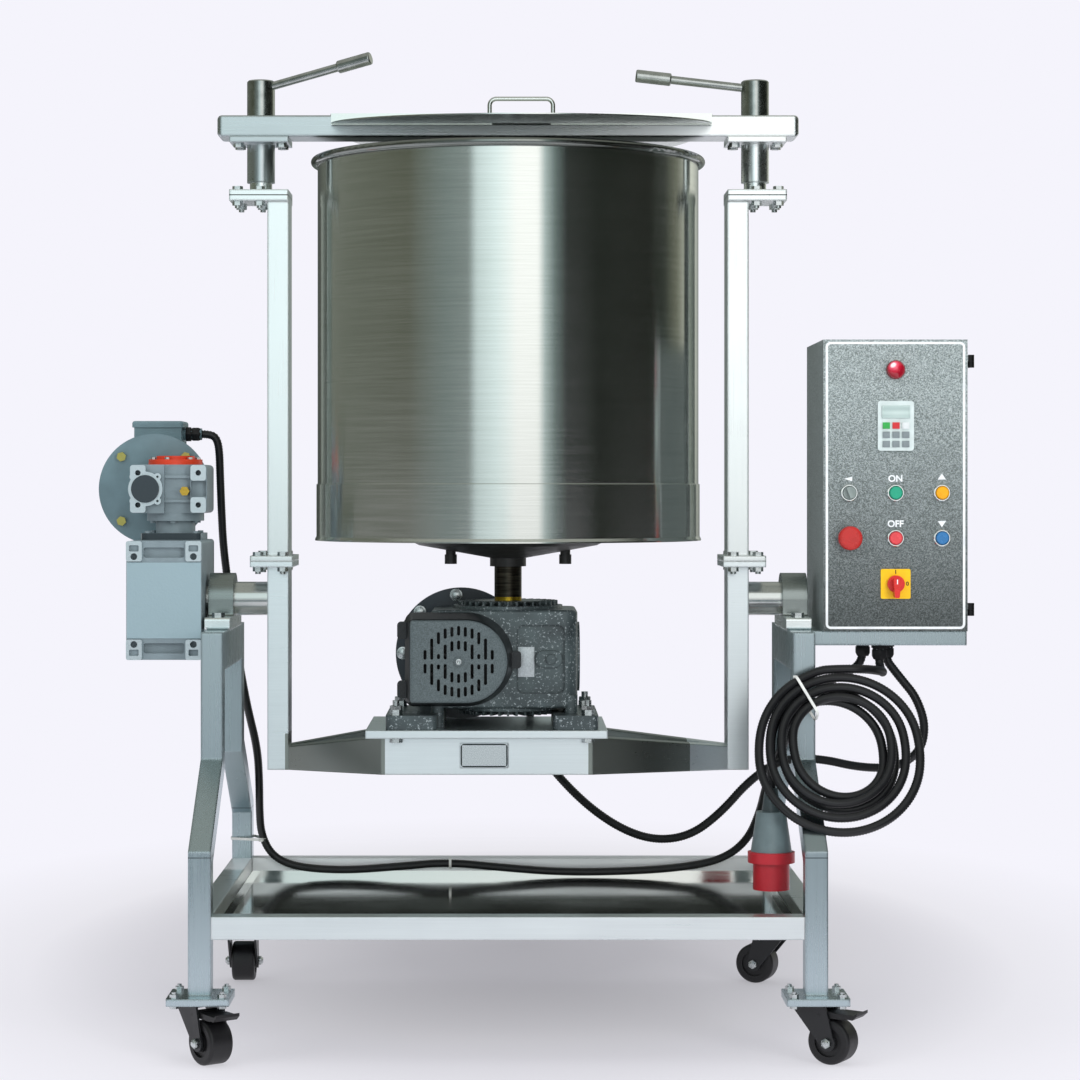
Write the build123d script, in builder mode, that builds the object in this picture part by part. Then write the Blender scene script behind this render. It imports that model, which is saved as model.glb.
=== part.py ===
"""A tilting chocolate melanger: a stainless drum with granite stones, turned by a worm gearbox in a
tilting yoke, on a stand with casters, with a tilting drive on the left and a control box on the right.

Millimetres, +Z up, the front towards -Y. Everything is modelled about the drum axis with the floor at
zero, and moved at the end so that the origin is the middle of the footprint.
"""
import os
from math import cos, pi, radians, sin, sqrt, tan

from build123d import *

os.makedirs("parts", exist_ok=True)

# Clearances
running = 0.05
standoff = 0.3
bolt_play = 0.3

# Drum and stones
drum_diameter = 684.0
drum_height = 684.0
drum_wall = 3.0
drum_floor = 6.0
rim_bead = 14.0
rim_overhang = 12.0
skirt_height = 101.0
skirt_sheet = 2.0
skirt_fit = 0.2
skirt_lip = 3.0
skirt_lip_width = 24.0
skirt_flare = 2.5
stone_gap = 1.0
stone_height = 70.0
stone_bore = 60.0
hub_diameter = 345.0
hub_disc = 12.0
hub_cone = 23.0
hub_neck = 15.0
hub_neck_diameter = 65.0
nipple_circle = 206.0
nipple_diameter = 18.0
nipple_cap = 22.0
nipple_drop = 34.0
skirt_screw_height = 50.0

# Stand
tube = 38.0
tube_wall = 2.0
wheel_diameter = 75.0
wheel_width = 44.0
caster_height = 100.0
caster_trail = 32.0
foot_plate = 12.0
foot_width = 105.0
lower_leg = 229.0
splay_rise = 135.0
splay = 200.0
upper_leg = 229.0
upper_leg_y = 185.0
beam_height = 66.0
rail_height = 205.0
shelf_sheet = 2.0

# Tilting yoke
bearing_height = 52.0
block_width = 45.0
block_length = 220.0
block_foot = 22.0
block_radius = 46.0
trunnion = 60.0
trunnion_reach = 60.0
rim_gap = 38.0
upright_depth = 76.0
upright_wall = 3.0
upright_length = 633.0
flange = 10.0
mid_flange_depth = 150.0
mid_flange_width = 76.0
mid_flange_rise = 68.0
post_flange = 105.0
cradle_drop = 305.0
cradle_height = 66.0
cradle_bar = 38.0
cradle_left = 223.0
cradle_right = 148.0
cradle_front = 128.0
wing_height = 42.0
base_plate = 14.0
base_plate_lap = 26.0
base_plate_depth = 320.0
badge_width = 84.0
badge_height = 43.0
badge_sheet = 2.0
badge_x = -42.0

# Main drive
gearbox_height = 222.0
gearbox_right = 123.0
gearbox_depth = 200.0
worm_height = 121.0
worm_offset = 86.0
main_worm_diameter = 56.0
main_worm_shaft = 30.0
mesh_gap = 0.5
wheel_thickness = 40.0
output_diameter = 49.0
output_reach = 61.0
motor_flange = 240.0
motor_flange_thickness = 14.0
main_motor_diameter = 204.0
main_motor_length = 286.0
main_motor_tail = 60.0
cowl_width = 192.0
cowl_height = 166.0
cowl_depth = 72.0
cowl_sheet = 2.5
cowl_draft = 8.0
bearing_cover = 196.0
stud = 12.0
stud_end = 26.0
stud_front = -144.0
stud_rear = 77.0
stud_left_inset = 27.0
stud_right_inset = 8.0
foot_height = 26.0

# Clamped crossbar, rollers, handles and lid
post = 40.0
post_shown = 16.0
post_stud = 24.0
sleeve = 50.0
sleeve_length = 69.0
bar_length = 1040.0
bar_depth = 76.0
bar_height = 39.0
bar_wall = 3.0
roller_diameter = 300.0
roller_width = 118.0
roller_spacing = 262.0
axle = 40.0
holder_post = 64.0
boss = 50.0
boss_height = 66.0
lever = 15.0
lever_reach = 152.0
grip = 23.0
grip_length = 64.0
left_lever_turn = -18.0
left_lever_rise = 12.5
right_lever_turn = 180.0
right_lever_rise = 6.5
lid_radius = 343.0
lid_shift = 24.0
lid_sheet = 2.0
lid_slope = 4.0
saddle_gap = 6.0
saddle_drop = 19.0
lid_pin = 6.0
lid_knuckle = 104.0
bail_width = 122.0
bail_height = 36.0
bail_wire = 8.0
bail_bend = 12.0

# Tilting drive
tilt_box_gap = 6.0
tilt_box_width = 133.0
tilt_box_top = 105.0
tilt_box_front = 100.0
tilt_box_back = 118.0
tilt_wheel_diameter = 124.0
tilt_worm_diameter = 35.0
tilt_worm_shaft = 24.0
tilt_shaft = 45.0
neck_height = 48.0
primary_width = 139.0
primary_height = 88.0
primary_depth = 120.0
primary_cap = 50.0
primary_offset = 47.0
cover_diameter = 98.0
cover_height = 16.0
tilt_motor_flange = 204.0
tilt_motor_diameter = 138.0
tilt_motor_length = 200.0
tilt_motor_tail = 46.0
terminal_width = 96.0
terminal_length = 96.0
terminal_height = 46.0
terminal_lip = 4.0
terminal_lid = 12.0
plate_width = 131.0
plate_height = 134.0
plate_sheet = 1.5

# Control box
box_gap = 16.0
box_width = 252.0
box_height = 510.0
box_front = 150.0
box_back = 130.0
box_sheet = 2.0
tray_height = 25.0
door_sheet = 2.0
button_diameter = 22.0
bezel_diameter = 30.0
bezel_height = 6.0
button_height = 9.0
panel_margin = 45.0
upper_row = 242.0
lower_row = 163.0
lamp_row = 457.0
keypad_row = 359.0
switch_row = 83.0
keypad_width = 63.0
keypad_height = 87.0
keypad_thickness = 6.0
switch_plate = 52.0
switch_plate_sheet = 3.0
hinge_inset = 38.0
hinge_length = 22.0
hinge_barrel = 12.0
hinge_pin = 5.0
gland = 22.0
gland_length = 30.0

# Cables
conduit = 16.0
coil_pitch = 17.4
coil_radius = 128.0
coil_straight = 14.0
coil_layer = 16.8
coil_turns_in = 6
coil_turns_out = 3
plug_grip = 62.0
plug_collar = 80.0
plug_shroud = 62.0

# Heights, from the floor up
foot_top = caster_height + foot_plate
ankle = foot_top + lower_leg
knee = ankle + splay_rise
side_top = knee + upper_leg
tilt_z = side_top + bearing_height
cradle_bottom = tilt_z - cradle_drop
cradle_top = cradle_bottom + cradle_height
gearbox_base = cradle_top + base_plate
gearbox_top = gearbox_base + gearbox_height
worm_z = gearbox_base + worm_height
hub_bottom = gearbox_top + output_reach
shell_bottom = hub_bottom + hub_neck + hub_cone + hub_disc
drum_bottom = shell_bottom - skirt_lip
drum_top = drum_bottom + drum_height
stone_bottom = shell_bottom + drum_floor
stone_top = stone_bottom + stone_height
mid_joint = tilt_z + mid_flange_rise
upright_bottom = mid_joint + flange
upright_top = upright_bottom + upright_length
post_bottom = upright_top + 2 * flange
sleeve_bottom = post_bottom + post_shown
bar_flange_bottom = sleeve_bottom + sleeve_length
bar_bottom = bar_flange_bottom + flange
bar_top = bar_bottom + bar_height
roller_z = stone_top + standoff + roller_diameter / 2

# Distances from the drum axis
drum_radius = drum_diameter / 2
rim_radius = drum_radius + rim_overhang
upright_inner = rim_radius + rim_gap
upright_x = upright_inner + tube / 2
upright_outer = upright_inner + tube
post_x = upright_inner + post_flange / 2
block_inner = upright_outer + trunnion_reach
block_outer = block_inner + block_width
frame_x = block_inner + block_width / 2
frame_inner = frame_x - tube / 2
frame_outer = frame_x + tube / 2
leg_y = upper_leg_y + splay
tilt_box_x = block_outer + tilt_box_gap
tilt_gear_x = -(tilt_box_x + tilt_box_width / 2)
tilt_worm_y = (tilt_wheel_diameter + tilt_worm_diameter) / 2 + mesh_gap
box_left = block_outer + box_gap
box_right = box_left + box_width
box_x = box_left + box_width / 2
box_bottom = side_top
panel_column = box_width / 2 - panel_margin
wheel_radius = worm_offset - main_worm_diameter / 2 - mesh_gap
stud_x = (stud_left_inset - cradle_left, cradle_right - stud_right_inset)
stud_spots = [(x, y) for x in stud_x for y in (stud_front, stud_rear)]

pieces = {}


def hex_bolt(thread, grip_length, nut=True):
    """A hexagon bolt along +Z: its head sits on z = 0, its shank hangs below through the grip to a nut."""
    with BuildPart() as bolt:
        with BuildSketch(Plane.XY):
            RegularPolygon(thread * 0.95, 6)
        extrude(amount=thread * 0.65)
        with BuildSketch(Plane.XY):
            Circle(thread / 2)
        extrude(amount=-grip_length - (thread * 1.25 if nut else 0))
        if nut:
            with BuildSketch(Plane.XY.offset(-grip_length)):
                RegularPolygon(thread * 0.95, 6)
            extrude(amount=-thread * 0.8)
    return bolt.part


# Drum shell: rolled rim, wall and floor in one sheet form
with BuildPart() as drum_shell:
    rim_z = drum_top - rim_bead / 2
    with BuildSketch(Plane.XY.offset(shell_bottom)):
        Circle(drum_radius)
    extrude(amount=rim_z - shell_bottom)
    with BuildSketch(Plane.XY.offset(stone_bottom)):
        Circle(drum_radius - drum_wall)
    extrude(amount=drum_height, mode=Mode.SUBTRACT)
    with Locations((0, 0, rim_z)):
        Torus(rim_radius - rim_bead / 2, rim_bead / 2)
pieces["drum_shell"] = drum_shell

# Skirt band round the foot of the drum, with a lip under the floor, a flared edge and one screw
with BuildPart() as drum_skirt:
    skirt_inner = drum_radius + skirt_fit
    skirt_outer = skirt_inner + skirt_sheet
    with BuildSketch(Plane.XZ):
        with BuildLine():
            Polyline(
                (skirt_inner - skirt_lip_width, drum_bottom),
                (skirt_outer + skirt_flare, drum_bottom),
                (skirt_outer + skirt_flare, drum_bottom + skirt_flare),
                (skirt_outer, drum_bottom + 3 * skirt_flare),
                (skirt_outer, drum_bottom + skirt_height - skirt_sheet / 2),
                (skirt_outer - skirt_sheet / 2, drum_bottom + skirt_height),
                (skirt_inner, drum_bottom + skirt_height),
                (skirt_inner, shell_bottom),
                (skirt_inner - skirt_lip_width, shell_bottom),
                close=True,
            )
        make_face()
    revolve(axis=Axis.Z)
    screw_head = 9.0
    with Locations(Plane((0, -skirt_outer, drum_bottom + skirt_screw_height), z_dir=(0, -1, 0))):
        Cylinder(screw_head / 2, skirt_sheet * 2)
pieces["drum_skirt"] = drum_skirt

# Granite base stone bonded to the drum floor
with BuildPart() as base_stone:
    with BuildSketch(Plane.XY.offset(stone_bottom)):
        Circle(drum_radius - drum_wall - stone_gap)
        Circle(stone_bore / 2, mode=Mode.SUBTRACT)
    extrude(amount=stone_height)
    chamfer(base_stone.edges().group_by(Axis.Z)[-1], stone_gap * 3)
pieces["base_stone"] = base_stone

# Black hub under the drum, with two capped nipples
with BuildPart() as drum_hub:
    cone_bottom = hub_bottom + hub_neck
    disc_bottom = cone_bottom + hub_cone
    with BuildSketch(Plane.XZ):
        with BuildLine():
            Polyline(
                (output_diameter / 2 + running, hub_bottom),
                (hub_neck_diameter / 2, hub_bottom),
                (hub_neck_diameter / 2, cone_bottom),
                (hub_diameter / 2 - hub_disc, disc_bottom),
                (hub_diameter / 2, disc_bottom + hub_disc / 2),
                (hub_diameter / 2, shell_bottom),
                (output_diameter / 2 + running, shell_bottom),
                close=True,
            )
        make_face()
    revolve(axis=Axis.Z)
    with PolarLocations(nipple_circle / 2, 2):
        with Locations((0, 0, disc_bottom - nipple_drop)):
            Cylinder(nipple_diameter / 2, nipple_drop, align=(Align.CENTER, Align.CENTER, Align.MIN))
            Cylinder(nipple_cap / 2, nipple_drop / 2, align=(Align.CENTER, Align.CENTER, Align.MIN))
pieces["drum_hub"] = drum_hub

# Output shaft with the bronze worm wheel blank keyed on it
with BuildPart() as output_shaft:
    shaft_bottom = worm_z - wheel_thickness * 0.8
    with BuildSketch(Plane.XY.offset(shaft_bottom)):
        Circle(output_diameter / 2)
    extrude(amount=shell_bottom - shaft_bottom)
    with BuildSketch(Plane.XY.offset(worm_z - wheel_thickness / 2)):
        Circle(wheel_radius)
    extrude(amount=wheel_thickness)
    chamfer(output_shaft.edges().filter_by(GeomType.CIRCLE).sort_by(SortBy.RADIUS)[-2:], wheel_thickness / 10)
pieces["output_shaft"] = output_shaft

# Cradle weldment: two bent beams, base plate, lower uprights and their flanges, and a bare badge plate
with BuildPart() as cradle:
    beam_y = cradle_front - cradle_bar / 2
    beam_length = cradle_left + cradle_right
    beam_x = (cradle_right - cradle_left) / 2
    wing_y = (upright_depth - cradle_bar) / 2
    for front in (-1, 1):
        with Locations((beam_x, front * beam_y, cradle_bottom + cradle_height / 2)):
            Box(beam_length, cradle_bar, cradle_height)
        for end in (-cradle_left, cradle_right):
            foot = upright_inner if end > 0 else -upright_inner
            with BuildSketch(Plane.YZ.offset(end)):
                with Locations((front * beam_y, cradle_bottom + cradle_height / 2)):
                    Rectangle(cradle_bar, cradle_height)
            with BuildSketch(Plane.YZ.offset(foot)):
                with Locations((front * wing_y, cradle_bottom + wing_height / 2)):
                    Rectangle(cradle_bar, wing_height)
            loft()
    with Locations((beam_x, 0, cradle_top + base_plate / 2)):
        Box(beam_length + 2 * base_plate_lap, base_plate_depth, base_plate)
    with BuildSketch(Plane.XY.offset(cradle_top)):
        with Locations(*stud_spots):
            Circle(stud / 2 + bolt_play)
    extrude(amount=base_plate, mode=Mode.SUBTRACT)
    for side in (-1, 1):
        with BuildSketch(Plane.XY.offset(cradle_bottom)):
            with Locations((side * upright_x, 0)):
                Rectangle(tube, upright_depth)
        extrude(amount=mid_joint - flange - cradle_bottom)
        with Locations((side * (upright_inner + mid_flange_width / 2 - flange), 0, mid_joint - flange / 2)):
            Box(mid_flange_width, mid_flange_depth, flange)
        with BuildSketch(Plane.XY.offset(cradle_bottom)):
            with Locations((side * upright_x, 0)):
                Rectangle(tube - 2 * upright_wall, upright_depth - 2 * upright_wall)
        extrude(amount=mid_joint - cradle_bottom, mode=Mode.SUBTRACT)
    flange_bolt = 10.0
    bolt_y = mid_flange_depth / 2 - 18.0
    mid_bolts = [
        (side * (upright_inner + bolt_x), y)
        for side in (-1, 1)
        for bolt_x in (tube / 2 - flange, mid_flange_width - 2 * flange - 3)
        for y in (-bolt_y, bolt_y)
    ]
    with BuildSketch(Plane.XY.offset(mid_joint)):
        with Locations(*mid_bolts):
            Circle(flange_bolt / 2 + bolt_play)
    extrude(amount=-flange, mode=Mode.SUBTRACT)
    with Locations((badge_x, -cradle_front - badge_sheet / 2, cradle_bottom + cradle_height / 2 + 1)):
        Box(badge_width, badge_sheet, badge_height)
pieces["cradle"] = cradle

# Upper uprights with a flange at each end and the clamp post and its plate on top
with BuildPart() as uprights:
    for side in (-1, 1):
        flange_x = side * (upright_inner + mid_flange_width / 2 - flange)
        with Locations((flange_x, 0, mid_joint + flange / 2)):
            Box(mid_flange_width, mid_flange_depth, flange)
        with BuildSketch(Plane.XY.offset(upright_bottom)):
            with Locations((side * upright_x, 0)):
                Rectangle(tube, upright_depth)
                Rectangle(tube - 2 * upright_wall, upright_depth - 2 * upright_wall, mode=Mode.SUBTRACT)
        extrude(amount=upright_length)
        with Locations((side * post_x, 0, upright_top + flange)):
            Box(post_flange, post_flange, 2 * flange)
        with BuildSketch(Plane.XY.offset(post_bottom)):
            with Locations((side * post_x, 0)):
                Circle(post / 2)
        extrude(amount=bar_bottom - flange / 2 - post_bottom)
        with BuildSketch(Plane.XY.offset(bar_bottom - flange / 2)):
            with Locations((side * post_x, 0)):
                Circle(post_stud / 2)
        extrude(amount=bar_height + flange / 2 + boss_height * 0.75)
        with BuildSketch(Plane.XY.offset(mid_joint)):
            with Locations((side * upright_x, 0)):
                Rectangle(tube - 2 * upright_wall, upright_depth - 2 * upright_wall)
        extrude(amount=flange, mode=Mode.SUBTRACT)
    with BuildSketch(Plane.XY.offset(mid_joint)):
        with Locations(*mid_bolts):
            Circle(flange_bolt / 2 + bolt_play)
    extrude(amount=flange, mode=Mode.SUBTRACT)
    post_bolt_inset = 14.0
    post_bolt_y = post_flange / 2 - post_bolt_inset
    post_bolts = [
        (side * (upright_inner + x), y)
        for side in (-1, 1)
        for x in (tube + post_bolt_inset, post_flange - post_bolt_inset)
        for y in (-post_bolt_y, post_bolt_y)
    ]
    with BuildSketch(Plane.XY.offset(upright_top)):
        with Locations(*post_bolts):
            Circle(flange_bolt / 2 + bolt_play)
    extrude(amount=2 * flange, mode=Mode.SUBTRACT)
pieces["uprights"] = uprights

# Bolts and nuts of the yoke's flanges, and the gearbox bolts up through the base plate with a nut and a lock nut
stud_grip = base_plate + foot_height
with BuildPart() as stud_and_nuts:
    with BuildSketch(Plane.XY.offset(-stud_grip - stud * 0.65)):
        RegularPolygon(stud * 0.95, 6)
    extrude(amount=stud * 0.65)
    with BuildSketch(Plane.XY.offset(-stud_grip)):
        Circle(stud / 2)
    extrude(amount=stud_grip + stud_end)
    with BuildSketch(Plane.XY):
        RegularPolygon(stud * 0.95, 6)
    extrude(amount=stud * 0.8)
    with BuildSketch(Plane.XY.offset(stud * 0.8)):
        RegularPolygon(stud * 0.95, 6, rotation=20)
    extrude(amount=stud * 0.6)
with BuildPart() as yoke_bolts:
    bolt = hex_bolt(flange_bolt, 2 * flange)
    with Locations(*[(x, y, mid_joint + flange) for x, y in mid_bolts]):
        add(bolt)
    with Locations(*[(x, y, post_bottom) for x, y in post_bolts]):
        add(bolt)
    with Locations(*[(x, y, gearbox_base + foot_height) for x, y in stud_spots]):
        add(stud_and_nuts.part)
pieces["yoke_bolts"] = yoke_bolts

# Main worm gearbox: cast housing on two foot blocks, with a recessed front panel, ribbed round bearing covers
# above and below, a side cover and an oil plug, bored for the wheel, the worm and both shafts
housing_wall = 22.0
housing_rise = 34.0
housing_corner = 24.0
corner_post = 23.0
corner_post_depth = 40.0
foot_lap = 18.0
foot_reach = 44.0
cover_disc = 6.0
cover_boss = output_diameter * 1.25
cover_rib = 4.0
cover_rib_length = 32.0
cover_ribs = 36
rib_height = 8.0
side_cover = 124.0
side_cover_height = 5.0
panel_recess = 8.0
panel_height = 120.0
oil_plug_x = 76.0
oil_boss = 30.0
oil_boss_length = 48.0
oil_boss_rise = 6.0
oil_boss_shift = 4.0
oil_plug = 18.0
oil_plug_rise = 11.2
housing_edge = 6.0
corner_post_round = 8.0
foot_round = 10.0
foot_inset = 4.0
panel_round = 12.0
panel_clear = 6.0
case_clear = 8.0
bearing_wall = 16.0
with BuildPart() as main_gearbox:
    body_left = worm_offset + main_worm_diameter / 2 + housing_wall
    body_x = (gearbox_right - body_left) / 2
    body_width = gearbox_right + body_left
    body_bottom = gearbox_base + housing_rise
    body_top = gearbox_top - cover_disc - rib_height
    with BuildSketch(Plane.XY.offset(body_bottom)):
        with Locations((body_x, 0)):
            RectangleRounded(body_width, gearbox_depth, housing_corner)
    extrude(amount=body_top - body_bottom)
    fillet(main_gearbox.faces().filter_by(Axis.Z).edges(), housing_edge)
    with BuildSketch(Plane.XY.offset(gearbox_base)):
        with Locations((body_x, 0)):
            with GridLocations(body_width - corner_post, gearbox_depth - corner_post_depth, 2, 2):
                RectangleRounded(corner_post, corner_post_depth, corner_post_round)
    extrude(amount=housing_rise + housing_corner)
    feet = (
        (stud_x[0] - foot_lap, -body_left + corner_post / 2),
        (gearbox_right - foot_reach, stud_x[1] + foot_lap),
    )
    foot_front = stud_front - stud
    foot_rear = gearbox_depth / 2 - foot_inset
    for foot_start, foot_stop in feet:
        with BuildSketch(Plane.XY.offset(gearbox_base)):
            with Locations(((foot_start + foot_stop) / 2, (foot_front + foot_rear) / 2)):
                RectangleRounded(foot_stop - foot_start, foot_rear - foot_front, foot_round)
        extrude(amount=foot_height)
    rib_radius = cover_boss + cover_rib_length / 2 - cover_rib
    for cover_start, cover_way in ((body_top, 1), (body_bottom, -1)):
        with BuildSketch(Plane.XY.offset(cover_start)):
            Circle(bearing_cover / 2)
        extrude(amount=cover_way * cover_disc)
        with BuildSketch(Plane.XY.offset(cover_start + cover_way * cover_disc)):
            Circle(cover_boss)
            with PolarLocations(rib_radius, cover_ribs):
                Rectangle(cover_rib_length, cover_rib)
        extrude(amount=cover_way * rib_height)
    with BuildSketch(Plane.YZ.offset(gearbox_right)):
        with Locations((0, worm_z)):
            Circle(side_cover / 2)
    extrude(amount=side_cover_height)
    panel_left = cowl_width / 2 - worm_offset + panel_clear
    panel_right = gearbox_right - corner_post
    with BuildSketch(Plane.XZ.offset(gearbox_depth / 2)):
        with Locations(((panel_left + panel_right) / 2, worm_z)):
            RectangleRounded(panel_right - panel_left, panel_height, panel_round)
    extrude(amount=-panel_recess, mode=Mode.SUBTRACT)
    with BuildSketch(Plane.XZ.offset(gearbox_depth / 2 - panel_recess)):
        with Locations((oil_plug_x - oil_boss_shift, worm_z)):
            SlotOverall(oil_boss_length, oil_boss)
    extrude(amount=oil_boss_rise)
    with BuildSketch(Plane.XZ.offset(gearbox_depth / 2 - panel_recess)):
        with Locations((oil_plug_x, worm_z)):
            Circle(oil_plug / 2)
    extrude(amount=oil_plug_rise)
    with BuildSketch(Plane.XY.offset(worm_z - wheel_thickness)):
        Circle(wheel_radius + case_clear)
    extrude(amount=2 * wheel_thickness, mode=Mode.SUBTRACT)
    with BuildSketch(Plane.XZ.offset(-gearbox_depth / 2 + bearing_wall)):
        with Locations((-worm_offset, worm_z)):
            Circle(main_worm_diameter / 2 + case_clear)
    extrude(amount=gearbox_depth - 2 * bearing_wall, mode=Mode.SUBTRACT)
    with BuildSketch(Plane.XZ.offset(-gearbox_depth / 2)):
        with Locations((-worm_offset, worm_z)):
            Circle(main_worm_shaft / 2 + running)
    extrude(amount=gearbox_depth, mode=Mode.SUBTRACT)
    with BuildSketch(Plane.XY.offset(worm_z)):
        Circle(output_diameter / 2 + running)
    extrude(amount=gearbox_top - worm_z, mode=Mode.SUBTRACT)
    with BuildSketch(Plane.XY.offset(gearbox_base)):
        with Locations(*stud_spots):
            Circle(stud / 2 + bolt_play)
    extrude(amount=foot_height, mode=Mode.SUBTRACT)
pieces["main_gearbox"] = main_gearbox

# Main worm with its shaft and, on the front end, the cooling fan
fan_radius = 64.0
fan_depth = 26.0
fan_gap = 14.0
fan_disc = 4.0
fan_blades = 7
blade_length = 44.8
blade_middle = 39.68
fan_front = gearbox_depth / 2 + cowl_depth - fan_gap
with BuildPart() as main_worm:
    with BuildSketch(Plane.XZ.offset(fan_front)):
        with Locations((-worm_offset, worm_z)):
            Circle(main_worm_shaft / 2)
    extrude(amount=-fan_front - gearbox_depth / 2 - 2 * motor_flange_thickness)
    with BuildSketch(Plane.XZ.offset(gearbox_depth / 4)):
        with Locations((-worm_offset, worm_z)):
            Circle(main_worm_diameter / 2)
    extrude(amount=-gearbox_depth / 2)
    with BuildSketch(Plane.XZ.offset(fan_front - fan_depth)):
        with Locations((-worm_offset, worm_z)):
            Circle(fan_radius)
    extrude(amount=fan_disc)
    with BuildSketch(Plane.XZ.offset(fan_front - fan_depth)):
        with Locations((-worm_offset, worm_z)):
            Circle(main_worm_shaft * 0.75)
            with PolarLocations(blade_middle, fan_blades):
                Rectangle(blade_length, fan_disc)
    extrude(amount=fan_depth)
pieces["main_worm"] = main_worm

# Slotted fan cowl on the front of the gearbox: square on the left, round on the right, drawn in towards its
# face, with three ears. The slots of each column are given as their distance from the middle and their length.
slot = 5.4
slot_pitch = 11.7
cowl_slots = (
    ((54.0, 17.0), (29.0, 16.0)),
    ((52.0, 17.0), (27.0, 18.0)),
    ((49.0, 18.0), (17.0, 26.0)),
    ((41.0, 21.0), (9.0, 9.0)),
    ((22.0, 37.0),),
    ((12.0, 17.0),),
)
cowl_square = 16.0
cowl_straight = cowl_width - cowl_height / 2
cowl_bow = -worm_offset + cowl_width / 2 - cowl_height / 2
cowl_bend = 8.0
cowl_screw = 16.0
ear_width = 26.0
ear_height = 30.0
ear_rise = 52.0
ear_round = 6.0
ear_depth = 21.6
with BuildPart() as fan_cowl:
    cowl_back = gearbox_depth / 2
    cowl_front = cowl_back + cowl_depth
    with BuildSketch(Plane.XZ.offset(cowl_back)):
        with Locations((cowl_bow - cowl_straight / 2, worm_z)):
            Rectangle(cowl_straight, cowl_height)
        with Locations((cowl_bow, worm_z)):
            Circle(cowl_height / 2)
        fillet(vertices().group_by(Axis.X)[0], cowl_square)
    extrude(amount=cowl_depth, taper=cowl_draft)
    fillet(fan_cowl.faces().sort_by(Axis.Y)[0].edges(), cowl_bend)
    with BuildSketch(Plane.XZ.offset(cowl_back)):
        for ear_x, ear_z in ((-1, -ear_rise), (-1, ear_rise), (1, 0)):
            with Locations((-worm_offset + ear_x * cowl_width / 2, worm_z + ear_z)):
                RectangleRounded(ear_width, ear_height, ear_round)
    extrude(amount=ear_depth)
    with BuildSketch(Plane.XZ.offset(cowl_front)):
        with Locations((-worm_offset, worm_z)):
            Circle(cowl_screw / 2)
    extrude(amount=cowl_sheet)
    with BuildSketch(Plane.XZ.offset(cowl_back)):
        with Locations((cowl_bow - (cowl_straight - cowl_sheet) / 2, worm_z)):
            Rectangle(cowl_straight - cowl_sheet, cowl_height - 2 * cowl_sheet)
        with Locations((cowl_bow, worm_z)):
            Circle(cowl_height / 2 - cowl_sheet)
        fillet(vertices().group_by(Axis.X)[0], cowl_square - cowl_sheet)
    extrude(amount=cowl_depth - 2 * cowl_sheet, taper=cowl_draft, mode=Mode.SUBTRACT)
    with BuildSketch(Plane.XZ.offset(cowl_front)):
        for column, spots in enumerate(cowl_slots):
            for rise, length in spots:
                with Locations((-worm_offset, worm_z)):
                    with GridLocations(2 * column * slot_pitch, 2 * rise, 2 if column else 1, 2):
                        SlotOverall(length, slot, rotation=90)
    extrude(amount=-3 * cowl_sheet, mode=Mode.SUBTRACT)
pieces["fan_cowl"] = fan_cowl

# Main motor behind the gearbox: round flange, finned body, tail cover and terminal box on its right side
terminal_back = 130.0
terminal_side = 58.0
terminal_sink = 14.0
terminal_size = (110.0, 100.0)
gland_shift = 4.0
fins = 30
fin = 3.0
fin_length = 16.0
fin_root = 12.0
tail_lip = 2.0
tail_round = 12.0
main_gland_y = gearbox_depth / 2 + motor_flange_thickness + terminal_back
main_gland_top = worm_z - terminal_size[1] / 2
with BuildPart() as main_motor:
    flange_y = gearbox_depth / 2
    with BuildSketch(Plane.XZ.offset(-flange_y)):
        with Locations((-worm_offset, worm_z)):
            Circle(motor_flange / 2)
    extrude(amount=-motor_flange_thickness)
    body_y = flange_y + motor_flange_thickness
    with BuildSketch(Plane.XZ.offset(-body_y)):
        with Locations((-worm_offset, worm_z)):
            Circle(main_motor_diameter / 2 - fin_root)
            with PolarLocations((main_motor_diameter - fin_length) / 2, fins):
                Rectangle(fin_length, fin)
    extrude(amount=-main_motor_length)
    with BuildSketch(Plane.XZ.offset(-body_y - main_motor_length)):
        with Locations((-worm_offset, worm_z)):
            Circle(main_motor_diameter / 2 + tail_lip)
    extrude(amount=-main_motor_tail)
    fillet(main_motor.faces().sort_by(Axis.Y)[-1].edges(), tail_round)
    motor_side = -worm_offset + main_motor_diameter / 2
    with Locations((motor_side + terminal_side / 2 - terminal_sink, main_gland_y, worm_z)):
        Box(terminal_side, *terminal_size)
    gland_x = motor_side + terminal_side / 2 - gland_shift
    with Locations((gland_x, main_gland_y, main_gland_top)):
        Cylinder(gland / 2, gland_length, align=(Align.CENTER, Align.CENTER, Align.MAX))
    with BuildSketch(Plane.XZ.offset(-flange_y)):
        with Locations((-worm_offset, worm_z)):
            Circle(main_worm_shaft / 2 + running)
    extrude(amount=-2 * motor_flange_thickness - standoff, mode=Mode.SUBTRACT)
pieces["main_motor"] = main_motor

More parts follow.
